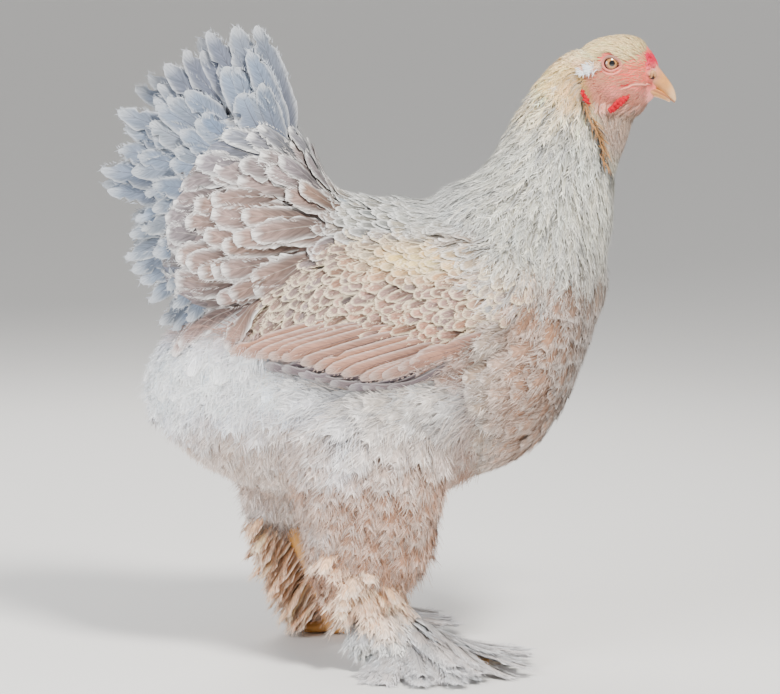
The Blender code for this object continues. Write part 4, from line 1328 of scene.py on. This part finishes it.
def is_feathered_face(p):
    """All of the head but the eye's ring, the comb's and mouth's red skin, the wattles and the beak."""
    bare = ramp(from_eye(p), 10.5, 8.0) + 1.3 * blob(p, 206, 470, 6, 10) + blob(p, 184, 455, 8, 3.5)
    bare = bare + blob(p, 181, 441, 10, 5) + blob(p, 153, 447, 4, 8) + ramp(p[:, 0], 199, 204)
    return np.clip(1 - bare, 0, 1) * ramp(p[:, 0], 148, 152)


def is_crown(p):
    return is_feathered_face(p) * ramp(p[:, 2] - 0.35 * (p[:, 0] - 180), 470, 480)


def is_cheek(p):
    """The side of the head from the ear to below the eye, down to where the throat's feathers start."""
    across = over_head_line(p[:, 0], p[:, 2])
    z = p[:, 2]
    return ramp(before_streak(p), -1, 2) * ramp(z, 432, 438) * ramp(z, 468, 462) * ramp(across, 30, 20)


crown_length = profile(X, (150, 170, 200), (13, 8, 4.5))
nape = grown_together("nape form", [loft(HEAD, 50, 60), loft(NECK, 60, 60, inset=2.5)], 1.5, 5)


def nape_length(p):
    return np.interp(p[:, 2] + 0.9 * (p[:, 0] - 134), (455, 480, 500), (26, 18, 12))


def is_nape(p):
    """A band round the back of the head, where its feathers run down over the neck's."""
    across = over_head_line(p[:, 0], p[:, 2])
    cheek = ramp(before_streak(p), -3, 2) * ramp(p[:, 2], 472, 466)
    near_lobe = np.clip(1.1 * blob(p, 153, 447, 4, 9), 0, 1)
    return ramp(across, -14, -8) * ramp(across, 31, 23) * (1 - near_lobe) * (1 - cheek)


coat_set("nape_feathers", is_nape, 2.4, nape_length, 3.0, 2.6, 40, tip=lance_tip, under=nape, rows=6,
         columns=3, swirl=0.08, rim=WHITE, rim_share=0.25, spread=0.12, barbs=8, barb_length=5,
         barb_width=0.6)
coat_set("throat_feathers", is_throat, 2.2, 10, 2.4, 2.2, 39, tip=lance_tip, under=nape, rows=5, columns=3,
         swirl=0.15, fray=0.05, rim=WHITE, rim_share=0.25, spread=0.2, depth=0.3, barbs=5, barb_length=3,
         barb_width=0.4)
coat_set("crown_feathers", is_crown, 1.7, crown_length, 1.9, 1.5, 41, tip=lance_tip, under=face, rows=5,
         columns=3, swirl=0.08, fray=0.05, spread=0.08)
bristle = dict(strand, rows=3, hold=1.0, spread=0.14, swirl=0.25, vary=0.3)
coat_set("face_feathers", is_feathered_face, 1.6, 4.6, 0.5, 1.0, 42, under=face, **bristle)
coat_set("cheek_feathers", is_cheek, 1.3, 5.5, 0.5, 1.3, 43, under=nape, **bristle)


def make_streak(side, word):
    """Golden-brown edges of the feathers that run from under the ear lobe down the side of the neck, darkened
    by painted shade along the hackle's edge.
    """
    chance = np.random.default_rng(72)
    count = 46
    t = chance.uniform(0, 1, count)
    first, last = np.array((151.0, side * 24.0, 446.0)), np.array((174.0, side * 30.0, 394.0))
    roots = first + (last - first) * t[:, None] + chance.normal(0, 1, (count, 3)) * (1.3, 0, 1.3)
    heading = unit(last - first + chance.normal(0, 15, (count, 3)))
    path, up = laid(roots, nape, chance.uniform(9, 17, count), [2.0, 4.6, 5.0, 5.2], heading=heading)
    gold = varied(np.tile(SHADED_GOLD, (count, 1)), chance, 0.30)[:, None]
    feathers("golden_shaded_streak_" + word, path, up, chance.uniform(0.6, 1.4, count), lance_tip, gold, down,
             chance, rows=6, columns=3, cup=0.1, fray=0.05)


def make_ear_tuft(side, word):
    """The tuft of short white down that covers the ear."""
    chance = np.random.default_rng(71)
    count = 170
    roots = np.array((154.5, side * 22.0, 468.0)) + chance.normal(0, 1, (count, 3)) * (2.3, 0.4, 1.5)
    heading = np.tile((-1.0, side * 0.25, -0.15), (count, 1))
    heading = unit(heading + chance.normal(0, 0.4, (count, 3)))
    length = chance.uniform(3.5, 7, count)
    path, up = laid(roots, nape, length, [1.0, 3.4, 4.4], heading=heading, hold=0.4)
    colours = varied(np.tile(SNOW, (count, 1)), chance, 0.04)[:, None]
    feathers("ear_tuft_" + word, path, up, np.full(count, 1.0), strand_tip, colours, down, chance, rows=3,
             columns=2, cup=0.0, fray=0.0)


on_both_sides(make_streak, make_ear_tuft)
bpy.data.objects.remove(nape)


def make_leg(side, word):
    """The scaly shank and foot, and its claws."""
    look = skin_look("leg scales", 420.0, 0.5)
    x, y = FOOT_X[side], side * FOOT_Y
    shank_path = ((-45, 1, 126), (-43, 0, 112), (-34, 0, 88), (-22, 0, 60), (-13, 0, 41), (-9, 0, 33))
    path = smooth_path([(x + dx, y + side * dy, z) for dx, dy, z in shank_path], 120)
    v = evenly(120)
    radii = np.interp(v, evenly(6), (8, 9.5, 7.6, 7.0, 7.4, 7.6)) * (1 + 0.07 * (v * 17 % 1))
    shank = tube(path, radii, 36, hint=(0, 1, 0))
    body_of_grid("leg_" + word, shank, look, YELLOW, "scales", "shank_" + word)

    toes = ((3, 66, 6.4), (-30, 46, 5.8), (34, 50, 5.8), (168, 26, 5.0))
    shape = np.array(((0.0, 10, 1.15), (0.25, 7, 1.0), (0.5, 5.6, 0.95), (0.75, 4.8, 0.9), (1.0, 4.2, 0.8)))
    parts = [ball((x, y, 13), (11, 10, 12.9), (0, 0, 1))]
    ankle = smooth_path([(x + dx, y, z) for dx, z in ((-2, 12), (-6, 26), (-13, 41))], 30)
    parts.append(tube(ankle, np.linspace(9, 8, 30), 28, hint=(0, 1, 0)))
    for number, (heading, length, radius) in enumerate(toes, 1):
        turn = math.radians(heading) * side
        ahead = np.array((math.cos(turn), math.sin(turn), 0.0))
        t = evenly(60)
        height, thick = (np.interp(t, shape[:, 0], shape[:, k]) for k in (1, 2))
        path = (x, y, 0.0) + ahead * (t * length)[:, None] + (0, 0, 1.0) * height[:, None]
        parts.append(tube(path, radius * thick * (1 + 0.06 * (t * length / 4.5 % 1)), 24))
        tip = path[-1]
        claw = (tip - ahead * 4, tip + ahead * 3 + (0, 0, 0.8), tip + ahead * 9 - (0, 0, 1.6))
        radii = radius * np.interp(evenly(30), (0, 0.5, 1), (0.52, 0.46, 0.12))
        grid = tube(smooth_path(claw, 30), radii, 18)
        grid[..., 2] = np.maximum(grid[..., 2], 0.1)
        body_of_grid(f"toe_claw_{word}_{number}", grid, look, CLAW, "horn", f"claw_{word}_{number}")
    for grid in parts:
        grid[..., 2] = np.maximum(grid[..., 2], 0.05)
    foot = grown_together("toes_" + word, parts, 0.9, 2, look)
    tinted(foot, YELLOW * 0.9)
    wear(foot, "scales", "foot_" + word)


on_both_sides(make_leg)

BOOT = np.array((
    # heading outwards, length, height at the root, halfway and at the tip, width
    (-18, 90, 24, 17, 9.5, 18),
    (7, 106, 21, 14, 8.5, 18),
    (21, 96, 25, 16, 6, 18),
    (39, 84, 21, 14.5, 7, 19),
    (59, 80, 25, 13, 3, 20),
    (80, 74, 21, 10, 2.5, 20),
    (103, 68, 25, 12, 3, 20),
    (128, 58, 21, 10, 2.5, 18),
), float)


def boot_colour(count, rows, chance):
    shade = chance.uniform(0.8, 1.1, (count, 1, 1))
    grey = mix(paler(LAVENDER, 0.5), paler(BEIGE, 0.45), chance.random(count) * 0.7)[:, None]
    light = 1 - 0.45 * ramp(evenly(rows), 0.7, 0.1)
    return np.clip(grey * shade * light[None, :, None], 0, 0.92)


def make_boot(side, word):
    """The feathers of the foot: tiers from over the toes' roots outwards and down, and those of the shank."""
    chance = np.random.default_rng(51 + side)
    centre = np.array((FOOT_X[side], side * FOOT_Y, 0.0))
    paths, ups, widths = [], [], []
    tiers = ((20, 1.0, 0, 0.85), (18, 0.86, 4, 0.85), (16, 0.68, 9, 0.8), (14, 0.5, 15, 0.8))
    for count, share, higher, broad in tiers:
        at = np.sort(chance.uniform(0, 1, count)) * 0.3 + np.linspace(0, 0.7, count)
        heading, length, root_z, middle_z, tip_z, width = (spline_weights(len(BOOT), at) @ BOOT).T
        turn = np.radians(heading + chance.normal(0, 4, count)) * side
        ahead = np.stack([np.cos(turn), np.sin(turn), 0 * turn], axis=1)
        length = length * share * chance.uniform(0.85, 1.04, count)
        v = np.array((0.04, 0.3, 0.6, 0.85, 1.0))
        height = np.stack([root_z + higher, (root_z + middle_z) / 2 + 3 + higher, middle_z + 1 + 0.8 * higher,
                           (middle_z + 2 * tip_z) / 3 + 0.6 * higher, tip_z + 0.5 * higher], axis=1)
        height = height + np.outer(chance.normal(0, 3.0, count), v)
        curl = np.cross(ahead, (0, 0, 1.0)) * chance.normal(0, 0.20, count)[:, None]
        path = centre + ahead[:, None] * (length[:, None] * v)[..., None] + curl[:, None] * (
            length[:, None] * v**2)[..., None]
        path[..., 2] = np.maximum(height, 1.2)
        paths.append(path)
        ups.append(np.broadcast_to((0.0, 0.0, 1.0), path.shape))
        widths.append(width * broad * chance.uniform(0.8, 1.05, count))
    path, up, width = (np.concatenate(parts) for parts in (paths, ups, widths))
    feathers(
        "boot_" + word, path, up, width, blade_tip, boot_colour(len(path), 16, chance), tail_feather,
        chance, rows=16, columns=7, cup=0.3, fray=0.16, rim=paler(SNOW, 0.3), rim_share=0.6,
        tilt=side * 9, splits=0.5, barbs=160, barb_length=9,
    )

    count = 240
    height = chance.uniform(26, 116, count)
    turn = np.radians(chance.uniform(*((-5, 190) if side == RIGHT else (70, 218)), count)) * side
    out = np.stack([np.cos(turn), np.sin(turn), 0 * turn], axis=1)
    behind = np.interp(height, (16, 34, 60, 88, 112), (-5, -10, -22, -34, -43))
    roots = centre + np.stack([behind, 0 * height, height], axis=1) + out * 6
    length = chance.uniform(28, 46, count) * np.interp(height, (26, 50), (0.8, 1.0))
    spread = chance.uniform(0.35, 0.8, count)
    tips = roots + (out * spread[:, None] - (0, 0, 0.75)) * length[:, None]
    tips[:, 2] = np.maximum(tips[:, 2], 6)
    path = arched(roots, tips, out * 4)
    up = np.broadcast_to(out[:, None] + (0, 0, 0.3), path.shape)
    low = ramp(height, 74, 44) * (side == RIGHT)
    colours = varied(mix((0.84, 0.54, 0.33), paler(LAVENDER, 0.7), low), chance, 0.12)[:, None]
    feathers(
        "shank_feathers_" + word, path, unit(up), chance.uniform(10, 15, count), round_tip, colours,
        body_feather, chance, rows=8, columns=5, cup=0.3, fray=0.2, rim=WHITE, rim_share=0.4, splits=0.3,
        barbs=60, barb_length=8,
    )


on_both_sides(make_boot)


def make_stage():
    """The floor, soft lights and the camera of the photo's view."""
    floor_look = finish("floor", 0.9, Base_Color=FLOOR)[0]
    turn = np.linspace(0, math.pi / 2, 24)
    away = np.concatenate([(0.5, 900), 1800 + 3400 * np.sin(turn)])
    height = np.concatenate([(0, 0), 1500 - 1500 * np.cos(turn)])
    round_it = circle(96)
    bowl = np.stack([np.outer(away, np.cos(round_it)), np.outer(away, np.sin(round_it)),
                     np.outer(height, np.ones(96))], axis=2)
    floor = new_piece("floor", bowl.reshape(-1, 3), [grid_faces(len(away), 96)], floor_look)
    world = bpy.data.worlds.new("pale room")
    world.use_nodes = True
    background = world.node_tree.nodes["Background"]
    background.inputs["Color"].default_value = (0.85, 0.86, 0.88, 1)
    background.inputs["Strength"].default_value = 0.42
    bpy.context.scene.world = world
    lamps = (
        # name, place, aimed at, size, power, colour
        ("key", (750, -1250, 2150), (0, 0, 260), 500, 108, (1.0, 0.97, 0.92)),
        ("fill", (-1700, -1200, 900), (0, 0, 200), 1200, 52, (0.95, 0.97, 1.0)),
        ("rim", (-500, 1500, 1500), (0, 0, 300), 900, 30, (1.0, 0.98, 0.95)),
    )
    for label, spot, aim, size, power, colour in lamps:
        lamp = bpy.data.lights.new(label, "AREA")
        lamp.size = size * MM
        lamp.energy = power
        lamp.color = colour
        stand = bpy.data.objects.new(label, lamp)
        bpy.context.scene.collection.objects.link(stand)
        stand.location = place(spot)
        stand.rotation_euler = Vector(place(aim) - place(spot)).to_track_quat("-Z", "Y").to_euler()
    lens = bpy.data.cameras.new("camera")
    lens.lens = LENS
    lens.sensor_width = 36
    camera = bpy.data.objects.new("camera", lens)
    bpy.context.scene.collection.objects.link(camera)
    camera.location = place(CAMERA_AT)
    camera.rotation_euler = (math.radians(90 - CAMERA_TILT), 0, 0)
    bpy.context.scene.camera = camera


make_stage()
